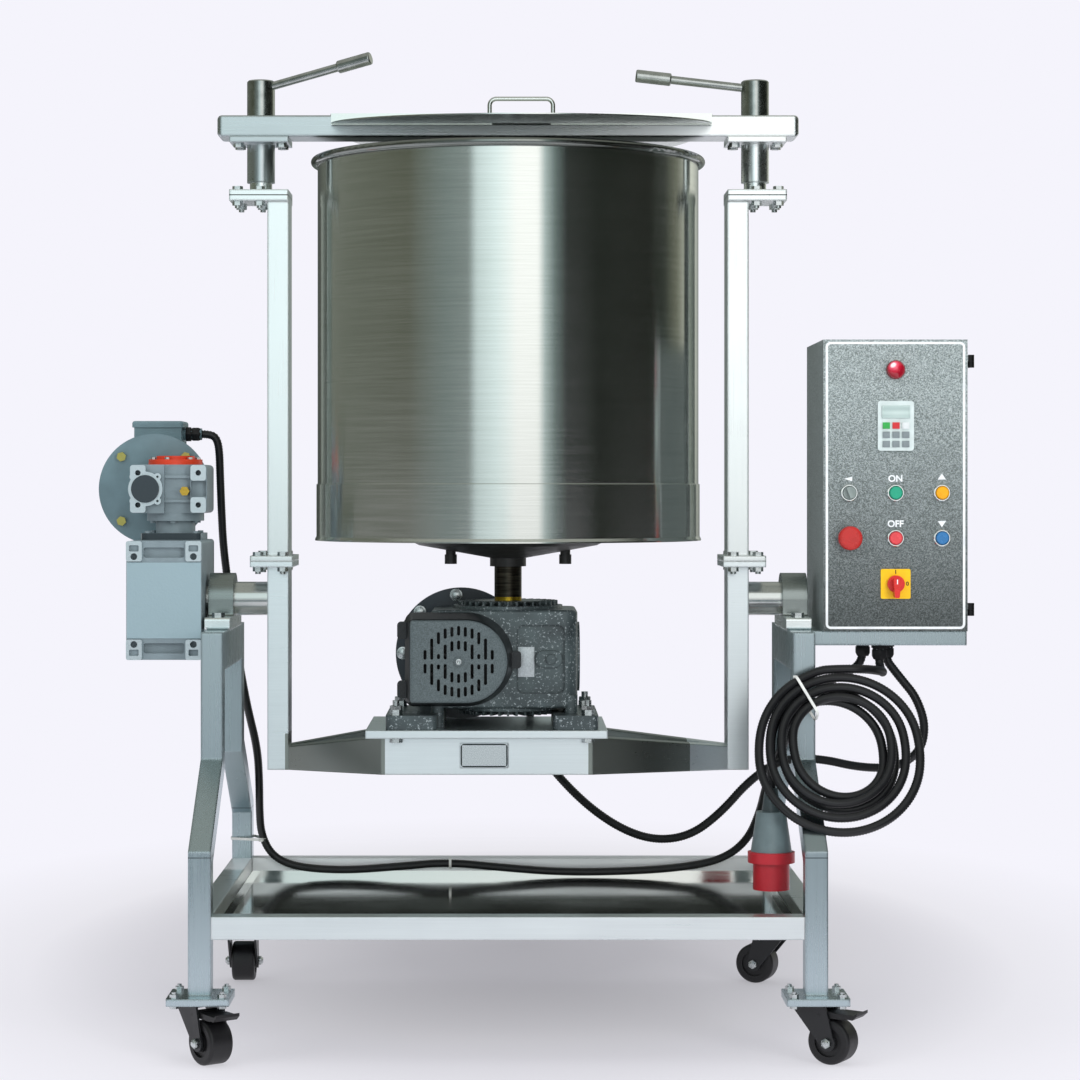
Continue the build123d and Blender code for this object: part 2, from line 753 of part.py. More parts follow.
# Crossbar: capped rectangular tube with a sleeve and flange plate at each post
bar_round = 4.0
bar_end_round = 8.0
sleeve_flange_lap = 10.0
with BuildPart() as crossbar:
    with Locations((0, 0, bar_bottom + bar_height / 2)):
        Box(bar_length, bar_depth, bar_height)
    fillet(crossbar.edges().filter_by(Axis.X), bar_round)
    end_edges = crossbar.edges().filter_by(Axis.Y).group_by(Axis.Z)[0]
    fillet(end_edges, bar_end_round)
    with Locations((0, 0, bar_bottom + bar_height / 2)):
        Box(bar_length - 2 * bar_wall, bar_depth - 2 * bar_wall, bar_height - 2 * bar_wall, mode=Mode.SUBTRACT)
    for side in (-1, 1):
        with Locations((side * post_x, 0, bar_bottom - flange / 2)):
            Box(post_flange, bar_depth + 2 * sleeve_flange_lap, flange)
        with BuildSketch(Plane.XY.offset(sleeve_bottom)):
            with Locations((side * post_x, 0)):
                Circle(sleeve / 2)
        extrude(amount=sleeve_length)
        with BuildSketch(Plane.XY.offset(sleeve_bottom)):
            with Locations((side * post_x, 0)):
                Circle(post / 2 + running)
        extrude(amount=bar_bottom - sleeve_bottom, mode=Mode.SUBTRACT)
        with BuildSketch(Plane.XY.offset(bar_bottom)):
            with Locations((side * post_x, 0)):
                Circle(post_stud / 2 + running)
        extrude(amount=bar_height, mode=Mode.SUBTRACT)
    bar_bolts = [
        (side * (post_x + x), y)
        for side in (-1, 1)
        for x in (-post_flange / 2 + post_bolt_inset, post_flange / 2 - post_bolt_inset)
        for y in (-bar_depth / 4, bar_depth / 4)
    ]
    with BuildSketch(Plane.XY.offset(bar_flange_bottom)):
        with Locations(*bar_bolts):
            Circle(flange_bolt / 2 + bolt_play)
    extrude(amount=flange + bar_wall, mode=Mode.SUBTRACT)
pieces["crossbar"] = crossbar

# Screws that hold the sleeve flanges up to the bar
with BuildPart() as crossbar_bolts:
    screw = hex_bolt(flange_bolt, flange + bar_wall, nut=False)
    with Locations(*[Location((x, y, bar_flange_bottom), (180, 0, 0)) for x, y in bar_bolts]):
        add(screw)
pieces["crossbar_bolts"] = crossbar_bolts

# Roller holder: a post under the bar with a cross head and the roller axle
roller_play = 1.0
head_depth = 80.0
head_height = 89.6
head_round = 8.0
holder_plate = (121.6, 68.4)
axle_end = 12.0
axle_collar = 11.0
with BuildPart() as roller_holder:
    holder_head = roller_spacing - roller_width - 2 * roller_play
    with Locations((0, 0, roller_z)):
        Box(holder_head, head_depth, head_height)
    fillet(roller_holder.edges().filter_by(Axis.X), head_round)
    with BuildSketch(Plane.XY.offset(roller_z)):
        Circle(holder_post / 2)
    extrude(amount=bar_bottom - roller_z)
    with BuildSketch(Plane.XY.offset(bar_bottom)):
        Rectangle(*holder_plate)
    extrude(amount=-flange)
    axle_length = roller_spacing + roller_width + 2 * axle_end
    with BuildSketch(Plane.YZ.offset(-axle_length / 2)):
        with Locations((0, roller_z)):
            Circle(axle / 2)
    extrude(amount=axle_length)
    for side in (-1, 1):
        with BuildSketch(Plane.YZ.offset(side * (axle_length / 2 - axle_collar))):
            with Locations((0, roller_z)):
                Circle(axle * 0.75)
        extrude(amount=side * axle_collar)
pieces["roller_holder"] = roller_holder

# Two granite rollers on the axle
roller_chamfer = 4.0
for name, side in (("left_roller", -1), ("right_roller", 1)):
    with BuildPart() as roller:
        with BuildSketch(Plane.YZ.offset(side * roller_spacing / 2 - roller_width / 2)):
            with Locations((0, roller_z)):
                Circle(roller_diameter / 2)
                Circle(axle / 2 + running, mode=Mode.SUBTRACT)
        extrude(amount=roller_width)
        rim_edges = roller.edges().filter_by(GeomType.CIRCLE).sort_by(SortBy.RADIUS)[-2:]
        chamfer(rim_edges, roller_chamfer)
    pieces[name] = roller

# Lever handles: a threaded boss on the bar, a raised arm and a grip
boss_chamfer = 2.5
grip_lap = 4.0
grip_round = 3.0
for name, side, turn, rise in (
    ("left_handle", -1, left_lever_turn, left_lever_rise),
    ("right_handle", 1, right_lever_turn, right_lever_rise),
):
    with BuildPart() as handle:
        with BuildSketch(Plane.XY.offset(bar_top)):
            with Locations((side * post_x, 0)):
                Circle(boss / 2)
        extrude(amount=boss_height)
        chamfer(handle.edges().group_by(Axis.Z)[-1], boss_chamfer)
        along = Vector(cos(radians(turn)) * cos(radians(rise)), sin(radians(turn)) * cos(radians(rise)),
                       sin(radians(rise)))
        root = Vector(side * post_x, 0, bar_top + boss_height - lever)
        with BuildSketch(Plane(origin=root, z_dir=along)):
            Circle(lever / 2)
        extrude(amount=lever_reach + grip_lap)
        with BuildSketch(Plane(origin=root + along * lever_reach, z_dir=along)):
            Circle(grip / 2)
        extrude(amount=grip_length)
        grip_end = handle.edges().filter_by(GeomType.CIRCLE).filter_by(lambda e: abs(e.radius - grip / 2) < 0.01)
        fillet(grip_end, grip_round)
        with BuildSketch(Plane.XY.offset(bar_top)):
            with Locations((side * post_x, 0)):
                Circle(post_stud / 2 + running)
        extrude(amount=boss_height * 0.8, mode=Mode.SUBTRACT)
    pieces[name] = handle

# Rear lid: the saddle over the bar, the rear half disc and a wire bail handle
saddle_half = bar_depth / 2 + saddle_gap
saddle_outer = saddle_half + lid_sheet
saddle_top = bar_top + lid_sheet
saddle_bottom = bar_top - saddle_drop
with BuildPart() as rear_lid:
    with BuildSketch(Plane.XY.offset(saddle_bottom)):
        with Locations((lid_shift, 0)):
            Circle(lid_radius)
        with Locations((lid_shift, -saddle_outer - lid_radius)):
            Rectangle(4 * lid_radius, 2 * lid_radius, mode=Mode.SUBTRACT)
        with Locations((lid_shift, saddle_outer + lid_radius)):
            Rectangle(4 * lid_radius, 2 * lid_radius, mode=Mode.SUBTRACT)
    extrude(amount=saddle_top - saddle_bottom)
    with Locations((lid_shift, 0, saddle_bottom)):
        Box(3 * lid_radius, 2 * saddle_half, 2 * saddle_drop, mode=Mode.SUBTRACT)
    rear_plane = Plane((lid_shift, saddle_outer - lid_sheet / 2, saddle_bottom), x_dir=(1, 0, 0),
                       z_dir=(0, sin(radians(lid_slope)), cos(radians(lid_slope))))
    with BuildSketch(rear_plane):
        with Locations((0, -saddle_outer)):
            Circle(lid_radius)
        with Locations((0, -lid_radius)):
            Rectangle(4 * lid_radius, 2 * lid_radius, mode=Mode.SUBTRACT)
    extrude(amount=lid_sheet)
    half_bail = bail_width / 2 - bail_wire / 2
    with BuildLine() as bail:
        FilletPolyline(
            (lid_shift - half_bail, 0, bar_top + lid_sheet / 2),
            (lid_shift - half_bail, 0, saddle_top + bail_height - bail_wire / 2),
            (lid_shift + half_bail, 0, saddle_top + bail_height - bail_wire / 2),
            (lid_shift + half_bail, 0, bar_top + lid_sheet / 2),
            radius=bail_bend,
        )
    with BuildSketch(Plane(origin=bail.line @ 0, z_dir=bail.line % 0)):
        Circle(bail_wire / 2)
    sweep()
pieces["rear_lid"] = rear_lid

# Front lid half: sloping down to the front, with its hinge knuckle along the saddle
lid_pin_y = -(saddle_outer + lid_pin / 2 + standoff)
lid_pin_z = saddle_bottom + lid_pin / 2
with BuildPart() as front_lid:
    front_plane = Plane((lid_shift, lid_pin_y - lid_pin / 4, lid_pin_z - lid_sheet / 2), x_dir=(1, 0, 0),
                        z_dir=(0, -sin(radians(lid_slope)), cos(radians(lid_slope))))
    with BuildSketch(front_plane):
        with Locations((0, -lid_pin_y + lid_pin / 4)):
            Circle(lid_radius)
        with Locations((0, lid_radius)):
            Rectangle(4 * lid_radius, 2 * lid_radius, mode=Mode.SUBTRACT)
    extrude(amount=lid_sheet)
    with BuildSketch(Plane.YZ.offset(lid_shift - lid_knuckle / 2)):
        with Locations((lid_pin_y, lid_pin_z)):
            Circle(lid_pin / 2)
    extrude(amount=lid_knuckle)
pieces["front_lid"] = front_lid

# Trunnions: a stub shaft out of each lower upright, the left one running on to the tilting worm wheel
tilt_wheel_width = 34.0
tilt_shaft_end = 20.0
with BuildPart() as trunnions:
    with BuildSketch(Plane.YZ.offset(upright_outer)):
        with Locations((0, tilt_z)):
            Circle(trunnion / 2)
    extrude(amount=block_outer - upright_outer)
    mirror(about=Plane.YZ)
    with BuildSketch(Plane.YZ.offset(-block_outer)):
        with Locations((0, tilt_z)):
            Circle(tilt_shaft / 2)
    extrude(amount=-tilt_box_gap - tilt_box_width + tilt_shaft_end)
    with BuildSketch(Plane.YZ.offset(tilt_gear_x - tilt_wheel_width / 2)):
        with Locations((0, tilt_z)):
            Circle(tilt_wheel_diameter / 2)
    extrude(amount=tilt_wheel_width)
pieces["trunnions"] = trunnions

# Bearing blocks on the side frames
block_bolt = 12.0
block_bolt_inset = 22.0
block_round = 5.0
block_bolt_y = block_length / 2 - block_bolt_inset
with BuildPart() as bearing_blocks:
    with BuildSketch(Plane.YZ.offset(block_inner)):
        with Locations((0, side_top + block_foot / 2)):
            Rectangle(block_length, block_foot)
        with Locations((0, tilt_z)):
            Circle(block_radius)
        with Locations((0, (side_top + tilt_z) / 2)):
            Rectangle(2 * block_radius, tilt_z - side_top)
    extrude(amount=block_width)
    fillet(bearing_blocks.edges().filter_by(Axis.X), block_round)
    with BuildSketch(Plane.YZ.offset(block_inner)):
        with Locations((0, tilt_z)):
            Circle(trunnion / 2 + running)
    extrude(amount=block_width, mode=Mode.SUBTRACT)
    with BuildSketch(Plane.XY.offset(side_top)):
        with Locations((frame_x, -block_bolt_y), (frame_x, block_bolt_y)):
            Circle(block_bolt / 2 + bolt_play)
    extrude(amount=block_foot, mode=Mode.SUBTRACT)
    mirror(about=Plane.YZ)
pieces["bearing_blocks"] = bearing_blocks

# Side frames: two splayed legs with foot plates under a top beam. The left one carries the plate of the
# tilting gearbox, the right one the tray of the control box.
foot_bolt = 8.0
foot_bolt_inset = 13.0
foot_spacing = foot_width - 2 * foot_bolt_inset
kingpin = 16.0
kingpin_depth = 7.0
tilt_plate_width = 160.0
foot_plate_round = 4.0
tray_inset = 8.0
tray_front = box_front - tray_inset
tray_back = box_back - tray_inset
tray_sheet = 3.0
gland_spots = [(box_x - 24.0, -118.0), (box_x - 4.0, -62.0), (box_x - 40.0, -10.0)]
for side in (-1, 1):
    with BuildPart() as side_frame:
        for front in (-1, 1):
            with BuildLine() as leg:
                Polyline(
                    (side * frame_x, front * upper_leg_y, side_top),
                    (side * frame_x, front * upper_leg_y, knee),
                    (side * frame_x, front * leg_y, ankle),
                    (side * frame_x, front * leg_y, foot_top),
                )
            with BuildSketch(Plane((side * frame_x, front * upper_leg_y, side_top), z_dir=(0, 0, -1))):
                Rectangle(tube, tube)
            sweep(transition=Transition.RIGHT)
            with Locations((side * frame_x, front * leg_y, caster_height + foot_plate / 2)):
                Box(foot_width, foot_width, foot_plate)
        fillet(side_frame.edges().filter_by(Axis.Z).group_by(SortBy.LENGTH)[0], foot_plate_round)
        with Locations((side * frame_x, 0, side_top - beam_height / 2)):
            Box(tube, 2 * upper_leg_y, beam_height)
        for front in (-1, 1):
            with BuildLine() as bore:
                Polyline(
                    (side * frame_x, front * upper_leg_y, side_top),
                    (side * frame_x, front * upper_leg_y, knee),
                    (side * frame_x, front * leg_y, ankle),
                    (side * frame_x, front * leg_y, foot_top),
                )
            with BuildSketch(Plane((side * frame_x, front * upper_leg_y, side_top), z_dir=(0, 0, -1))):
                Rectangle(tube - 2 * tube_wall, tube - 2 * tube_wall)
            sweep(transition=Transition.RIGHT, mode=Mode.SUBTRACT)
            with BuildSketch(Plane.XY.offset(caster_height)):
                with Locations((side * frame_x, front * leg_y)):
                    with GridLocations(foot_spacing, foot_spacing, 2, 2):
                        Circle(foot_bolt / 2 + bolt_play)
            extrude(amount=foot_plate, mode=Mode.SUBTRACT)
            with BuildSketch(Plane.XY.offset(caster_height)):
                with Locations((side * frame_x, front * leg_y)):
                    Circle(kingpin / 2 + running)
            extrude(amount=kingpin_depth + standoff, mode=Mode.SUBTRACT)
        with Locations((side * frame_x, 0, side_top - beam_height / 2 - tube_wall)):
            Box(tube - 2 * tube_wall, 2 * upper_leg_y - 2 * tube, beam_height, mode=Mode.SUBTRACT)
        with BuildSketch(Plane.XY.offset(side_top)):
            with Locations((side * frame_x, -block_bolt_y), (side * frame_x, block_bolt_y)):
                Circle(block_bolt / 2 + bolt_play)
        extrude(amount=-tube_wall, mode=Mode.SUBTRACT)
        if side < 0:
            with Locations((-(frame_outer + tilt_box_x) / 2, 0, side_top - beam_height / 2)):
                Box(tilt_box_x - frame_outer, tilt_plate_width, beam_height)
        else:
            tray_x = (frame_outer + box_right) / 2
            tray_y = (tray_back - tray_front) / 2
            with Locations((tray_x, tray_y, box_bottom - tray_height / 2)):
                Box(box_right - frame_outer, tray_front + tray_back, tray_height)
            with Locations((tray_x, tray_y, box_bottom - tray_height / 2 - tray_sheet)):
                Box(box_right - frame_outer - 2 * tray_sheet, tray_front + tray_back - 2 * tray_sheet, tray_height,
                    mode=Mode.SUBTRACT)
            with BuildSketch(Plane.XY.offset(box_bottom)):
                with Locations(*gland_spots):
                    Circle(gland / 2 + bolt_play)
            extrude(amount=-tray_sheet, mode=Mode.SUBTRACT)
    pieces["left_side_frame" if side < 0 else "right_side_frame"] = side_frame

# Rails between the legs: front, rear and one at each side
with BuildPart() as base_rails:
    for front in (-1, 1):
        with BuildSketch(Plane.YZ.offset(-frame_inner)):
            with Locations((front * leg_y, rail_height + tube / 2)):
                Rectangle(tube, tube)
                Rectangle(tube - 2 * tube_wall, tube - 2 * tube_wall, mode=Mode.SUBTRACT)
        extrude(amount=2 * frame_inner)
    for side in (-1, 1):
        with BuildSketch(Plane.XZ.offset(leg_y - tube / 2)):
            with Locations((side * frame_x, rail_height + tube / 2)):
                Rectangle(tube, tube)
                Rectangle(tube - 2 * tube_wall, tube - 2 * tube_wall, mode=Mode.SUBTRACT)
        extrude(amount=-2 * leg_y + tube)
pieces["base_rails"] = base_rails

# Bottom shelf between the rails, with a folded edge all round
shelf_fold = 14.0
with BuildPart() as bottom_shelf:
    shelf_length = 2 * frame_inner
    shelf_depth = 2 * leg_y - tube
    with Locations((0, 0, rail_height + shelf_fold / 2)):
        Box(shelf_length, shelf_depth, shelf_fold)
    with Locations((0, 0, rail_height + shelf_fold / 2 + shelf_sheet)):
        Box(shelf_length - 2 * shelf_sheet, shelf_depth - 2 * shelf_sheet, shelf_fold, mode=Mode.SUBTRACT)
pieces["bottom_shelf"] = bottom_shelf

# Bolts of the stand: four at each foot plate and two at each bearing block
with BuildPart() as stand_bolts:
    foot_screw = hex_bolt(foot_bolt, foot_plate)
    foot_spots = [
        (side * frame_x + i * foot_spacing / 2, front * leg_y + j * foot_spacing / 2)
        for side in (-1, 1)
        for front in (-1, 1)
        for i in (-1, 1)
        for j in (-1, 1)
    ]
    with Locations(*[Location((x, y, caster_height), (180, 0, 0)) for x, y in foot_spots]):
        add(foot_screw)
    block_screw = hex_bolt(block_bolt, block_foot + tube_wall)
    block_spots = [
        (side * frame_x, y, side_top + block_foot)
        for side in (-1, 1)
        for y in (-block_bolt_y, block_bolt_y)
    ]
    with Locations(*block_spots):
        add(block_screw)
pieces["stand_bolts"] = stand_bolts

# Swivel casters: fork with kingpin and axle bolt, wheel, and brake pedals on the front pair
caster_axle = 12.0
cheek = 4.0
cheek_gap = 1.6
crown_top = caster_height - standoff
crown = 8.0
crown_back = 29.0
crown_front = 10.0
fork_toe = 13.0
fork_toe_drop = 4.0
fork_boss = 14.0
axle_head = 8.0
axle_head_height = 5.0
wheel_round = 6.0
wheel_groove = 4.0
groove_outer = 24.0
groove_inner = 15.0
pedal_pin = 6.0
pedal_x = 18.0
pedal_drop = 7.7
pedal_z = crown_top - crown - pedal_drop
pedal_reach = 84.0
pedal_width = 46.0
wheel_half = wheel_width / 2 + cheek_gap
for name, side, front, heading in (
    ("front_left", -1, -1, -52.0),
    ("front_right", 1, -1, -30.0),
    ("rear_left", -1, 1, 90.0),
    ("rear_right", 1, 1, 158.0),
):
    ahead = Vector(cos(radians(heading)), sin(radians(heading)), 0)
    across = Vector(-sin(radians(heading)), cos(radians(heading)), 0)
    swivel = Vector(side * frame_x, front * leg_y, 0)
    ground = Plane(origin=swivel, x_dir=ahead, z_dir=(0, 0, 1))
    mid_plane = Plane(origin=swivel, x_dir=ahead, z_dir=across * -1)
    with BuildPart() as fork:
        for edge in (-wheel_half - cheek, wheel_half):
            with BuildSketch(mid_plane.offset(edge)):
                with BuildLine():
                    Polyline(
                        (-crown_back, crown_top - crown),
                        (-crown_back, crown_top),
                        (crown_back, crown_top),
                        (caster_trail + fork_toe, wheel_diameter / 2),
                        (caster_trail - fork_toe, wheel_diameter / 2 - fork_toe_drop),
                        close=True,
                    )
                make_face()
                with Locations((caster_trail, wheel_diameter / 2)):
                    Circle(fork_boss)
                with Locations((pedal_x, pedal_z)):
                    Circle(pedal_pin / 2 + running, mode=Mode.SUBTRACT)
            extrude(amount=cheek)
        with BuildSketch(mid_plane.offset(-wheel_half)):
            with BuildLine():
                Polyline(
                    (-crown_back, crown_top - crown),
                    (-crown_back, crown_top),
                    (crown_front, crown_top),
                    (crown_front, crown_top - crown),
                    close=True,
                )
            make_face()
        extrude(amount=2 * wheel_half)
        with BuildSketch(ground.offset(crown_top - crown / 2)):
            Circle(crown_back)
        extrude(amount=crown / 2)
        with BuildSketch(ground.offset(crown_top - crown / 2)):
            Circle(kingpin / 2)
        extrude(amount=crown / 2 + kingpin_depth)
        with BuildSketch(mid_plane.offset(-wheel_half - cheek)):
            with Locations((caster_trail, wheel_diameter / 2)):
                Circle(caster_axle / 2)
        extrude(amount=2 * (wheel_half + cheek))
        for edge, reach in ((-wheel_half - cheek, -axle_head_height), (wheel_half + cheek, axle_head_height)):
            with BuildSketch(mid_plane.offset(edge)):
                with Locations((caster_trail, wheel_diameter / 2)):
                    RegularPolygon(axle_head, 6)
            extrude(amount=reach)
    pieces[f"{name}_fork"] = fork
    with BuildPart() as wheel:
        with BuildSketch(mid_plane.offset(-wheel_width / 2)):
            with Locations((caster_trail, wheel_diameter / 2)):
                Circle(wheel_diameter / 2)
        extrude(amount=wheel_width)
        fillet(wheel.edges(), wheel_round)
        with BuildSketch(mid_plane.offset(-wheel_width / 2)):
            with Locations((caster_trail, wheel_diameter / 2)):
                Circle(groove_outer)
                Circle(groove_inner, mode=Mode.SUBTRACT)
        extrude(amount=wheel_groove, mode=Mode.SUBTRACT)
        with BuildSketch(mid_plane.offset(wheel_width / 2)):
            with Locations((caster_trail, wheel_diameter / 2)):
                Circle(groove_outer)
                Circle(groove_inner, mode=Mode.SUBTRACT)
        extrude(amount=-wheel_groove, mode=Mode.SUBTRACT)
        with BuildSketch(mid_plane.offset(-wheel_width / 2)):
            with Locations((caster_trail, wheel_diameter / 2)):
                Circle(caster_axle / 2 + running)
        extrude(amount=wheel_width, mode=Mode.SUBTRACT)
    pieces[f"{name}_wheel"] = wheel
    if front < 0:
        with BuildPart() as pedal:
            with BuildSketch(mid_plane.offset(-wheel_width / 2)):
                with BuildLine():
                    Polyline(
                        (pedal_x - 6.0, pedal_z + 5.0),
                        (pedal_x + 14.0, pedal_z + 5.0),
                        (pedal_reach - 20.0, pedal_z - 2.0),
                        (pedal_reach - 20.0, pedal_z - 7.0),
                        (pedal_x + 10.0, pedal_z - 6.0),
                        (pedal_x - 6.0, pedal_z - 5.0),
                        close=True,
                    )
                make_face()
            extrude(amount=wheel_width)
            with BuildSketch(mid_plane.offset(-pedal_width / 2)):
                with BuildLine():
                    Polyline(
                        (pedal_x + 26.0, pedal_z + 3.0),
                        (pedal_reach - 6.0, pedal_z + 2.0),
                        (pedal_reach, pedal_z + 6.0),
                        (pedal_reach, pedal_z + 1.0),
                        (pedal_reach - 8.0, pedal_z - 6.0),
                        (pedal_x + 26.0, pedal_z - 4.0),
                        close=True,
                    )
                make_face()
            extrude(amount=pedal_width)
            with BuildSketch(mid_plane.offset(-wheel_half - cheek)):
                with Locations((pedal_x, pedal_z)):
                    Circle(pedal_pin / 2)
            extrude(amount=2 * (wheel_half + cheek))
        pieces[f"{name}_brake"] = pedal

# Large worm gearbox of the tilting drive, with corner pads and a bare plate on its front
tilt_box_bottom = tilt_z - tilt_box_top
tilt_box_head = tilt_z + tilt_box_top
tilt_wall = 14.0
lug_width = 28.0
lug_height = 36.0
lug = 5.0
lug_hole = 12.0
lug_hole_inset = 27.5
lug_window = (17.0, 11.0)
lug_window_inset = 13.0
shelf_recess = 10.0
tilt_box_round = 6.0
lug_round = 4.0
lug_window_round = 2.0
tilt_wheel_clear = 8.0
tilt_worm_clear = 6.0
with BuildPart() as tilt_gearbox:
    box_mid_y = (tilt_box_back - tilt_box_front) / 2
    with Locations((tilt_gear_x, box_mid_y, tilt_z)):
        Box(tilt_box_width, tilt_box_front + tilt_box_back, 2 * tilt_box_top)
    fillet(tilt_gearbox.edges().filter_by(Axis.Y), tilt_box_round)
    with BuildSketch(Plane.XZ.offset(tilt_box_front)):
        with Locations((tilt_gear_x, tilt_z)):
            with GridLocations(tilt_box_width - lug_width, 2 * tilt_box_top - lug_height, 2, 2):
                RectangleRounded(lug_width, lug_height, lug_round)
    extrude(amount=lug)
    with BuildSketch(Plane.XZ.offset(tilt_box_front + lug)):
        with Locations((tilt_gear_x, tilt_z)):
            with GridLocations(tilt_box_width - lug_width, 2 * (tilt_box_top - lug_hole_inset), 2, 2):
                Circle(lug_hole / 2)
    extrude(amount=-3 * lug, mode=Mode.SUBTRACT)
    with BuildSketch(Plane.XZ.offset(tilt_box_front + lug)):
        with Locations((tilt_gear_x, tilt_z)):
            with GridLocations(tilt_box_width - lug_width, 2 * (tilt_box_top - lug_window_inset), 2, 2):
                RectangleRounded(*lug_window, lug_window_round)
    extrude(amount=-lug, mode=Mode.SUBTRACT)
    with BuildSketch(Plane.XZ.offset(tilt_box_front)):
        with Locations((tilt_gear_x, tilt_z)):
            with GridLocations(0, 2 * tilt_box_top - lug_height - lug, 1, 2):
                RectangleRounded(tilt_box_width - 2 * lug_width - lug, lug_height / 2, lug_round)
    extrude(amount=-shelf_recess, mode=Mode.SUBTRACT)
    with BuildSketch(Plane.YZ.offset(tilt_gear_x - tilt_box_width / 2 + tilt_wall)):
        with Locations((0, tilt_z)):
            Circle(tilt_wheel_diameter / 2 + tilt_wheel_clear)
    extrude(amount=tilt_box_width - 2 * tilt_wall, mode=Mode.SUBTRACT)
    with BuildSketch(Plane.YZ.offset(-tilt_box_x)):
        with Locations((0, tilt_z)):
            Circle(tilt_shaft / 2 + running)
    extrude(amount=-tilt_box_width / 2, mode=Mode.SUBTRACT)
    with BuildSketch(Plane.XY.offset(tilt_box_bottom + tilt_wall)):
        with Locations((tilt_gear_x, tilt_worm_y)):
            Circle(tilt_worm_diameter / 2 + tilt_worm_clear)
    extrude(amount=2 * tilt_box_top - 2 * tilt_wall, mode=Mode.SUBTRACT)
    with BuildSketch(Plane.XY.offset(tilt_z)):
        with Locations((tilt_gear_x, tilt_worm_y)):
            Circle(tilt_worm_shaft / 2 + running)
    extrude(amount=tilt_box_top, mode=Mode.SUBTRACT)
    with Locations((tilt_gear_x, -tilt_box_front - plate_sheet / 2, tilt_z)):
        Box(plate_width, plate_sheet, plate_height)
pieces["tilt_gearbox"] = tilt_gearbox

# Small worm gearbox on a bolted neck above it, with an end cap and pads on its front
primary_bottom = tilt_box_head + neck_height
primary_top = primary_bottom + primary_height
primary_front = tilt_worm_y - primary_depth / 2
primary_back = tilt_worm_y + primary_depth / 2
primary_mid = primary_bottom + primary_height / 2
worm_axis_x = tilt_gear_x - primary_offset
primary_shift = 6.0
primary_x = tilt_gear_x - primary_shift
primary_round = 8.0
primary_pad_round = 5.0
primary_wheel = 76.0
primary_wheel_width = 24.0
primary_wheel_clear = 6.0
neck_radius = 36.0
neck_base_shift = 20.0
neck_base_round = 14.0
neck_bolts = 6
neck_bolt_inset = 7.0
shaft_end_play = 4.0
neck_flange = 104.0
neck_flange_height = 14.0
neck_base = (112.0, 108.0)
neck_base_height = 12.0
neck_bolt = 5.0
neck_bolt_height = 4.0
cap_ring = 6.0
cap_height = 14.0
cap_ear = 6.5
cap_ear_hole = 2.2
primary_pad = 28.0
primary_pad_height = 8.0
primary_pad_inset = 30.0
primary_pad_hole = 5.0
waist = 10.0
waist_rib = 5.0
waist_rib_spacing = 44.0
level_plug_x = tilt_gear_x + 24.0
level_plug_z = primary_mid - 4.0
level_plug = 18.0
primary_wall = 16.0
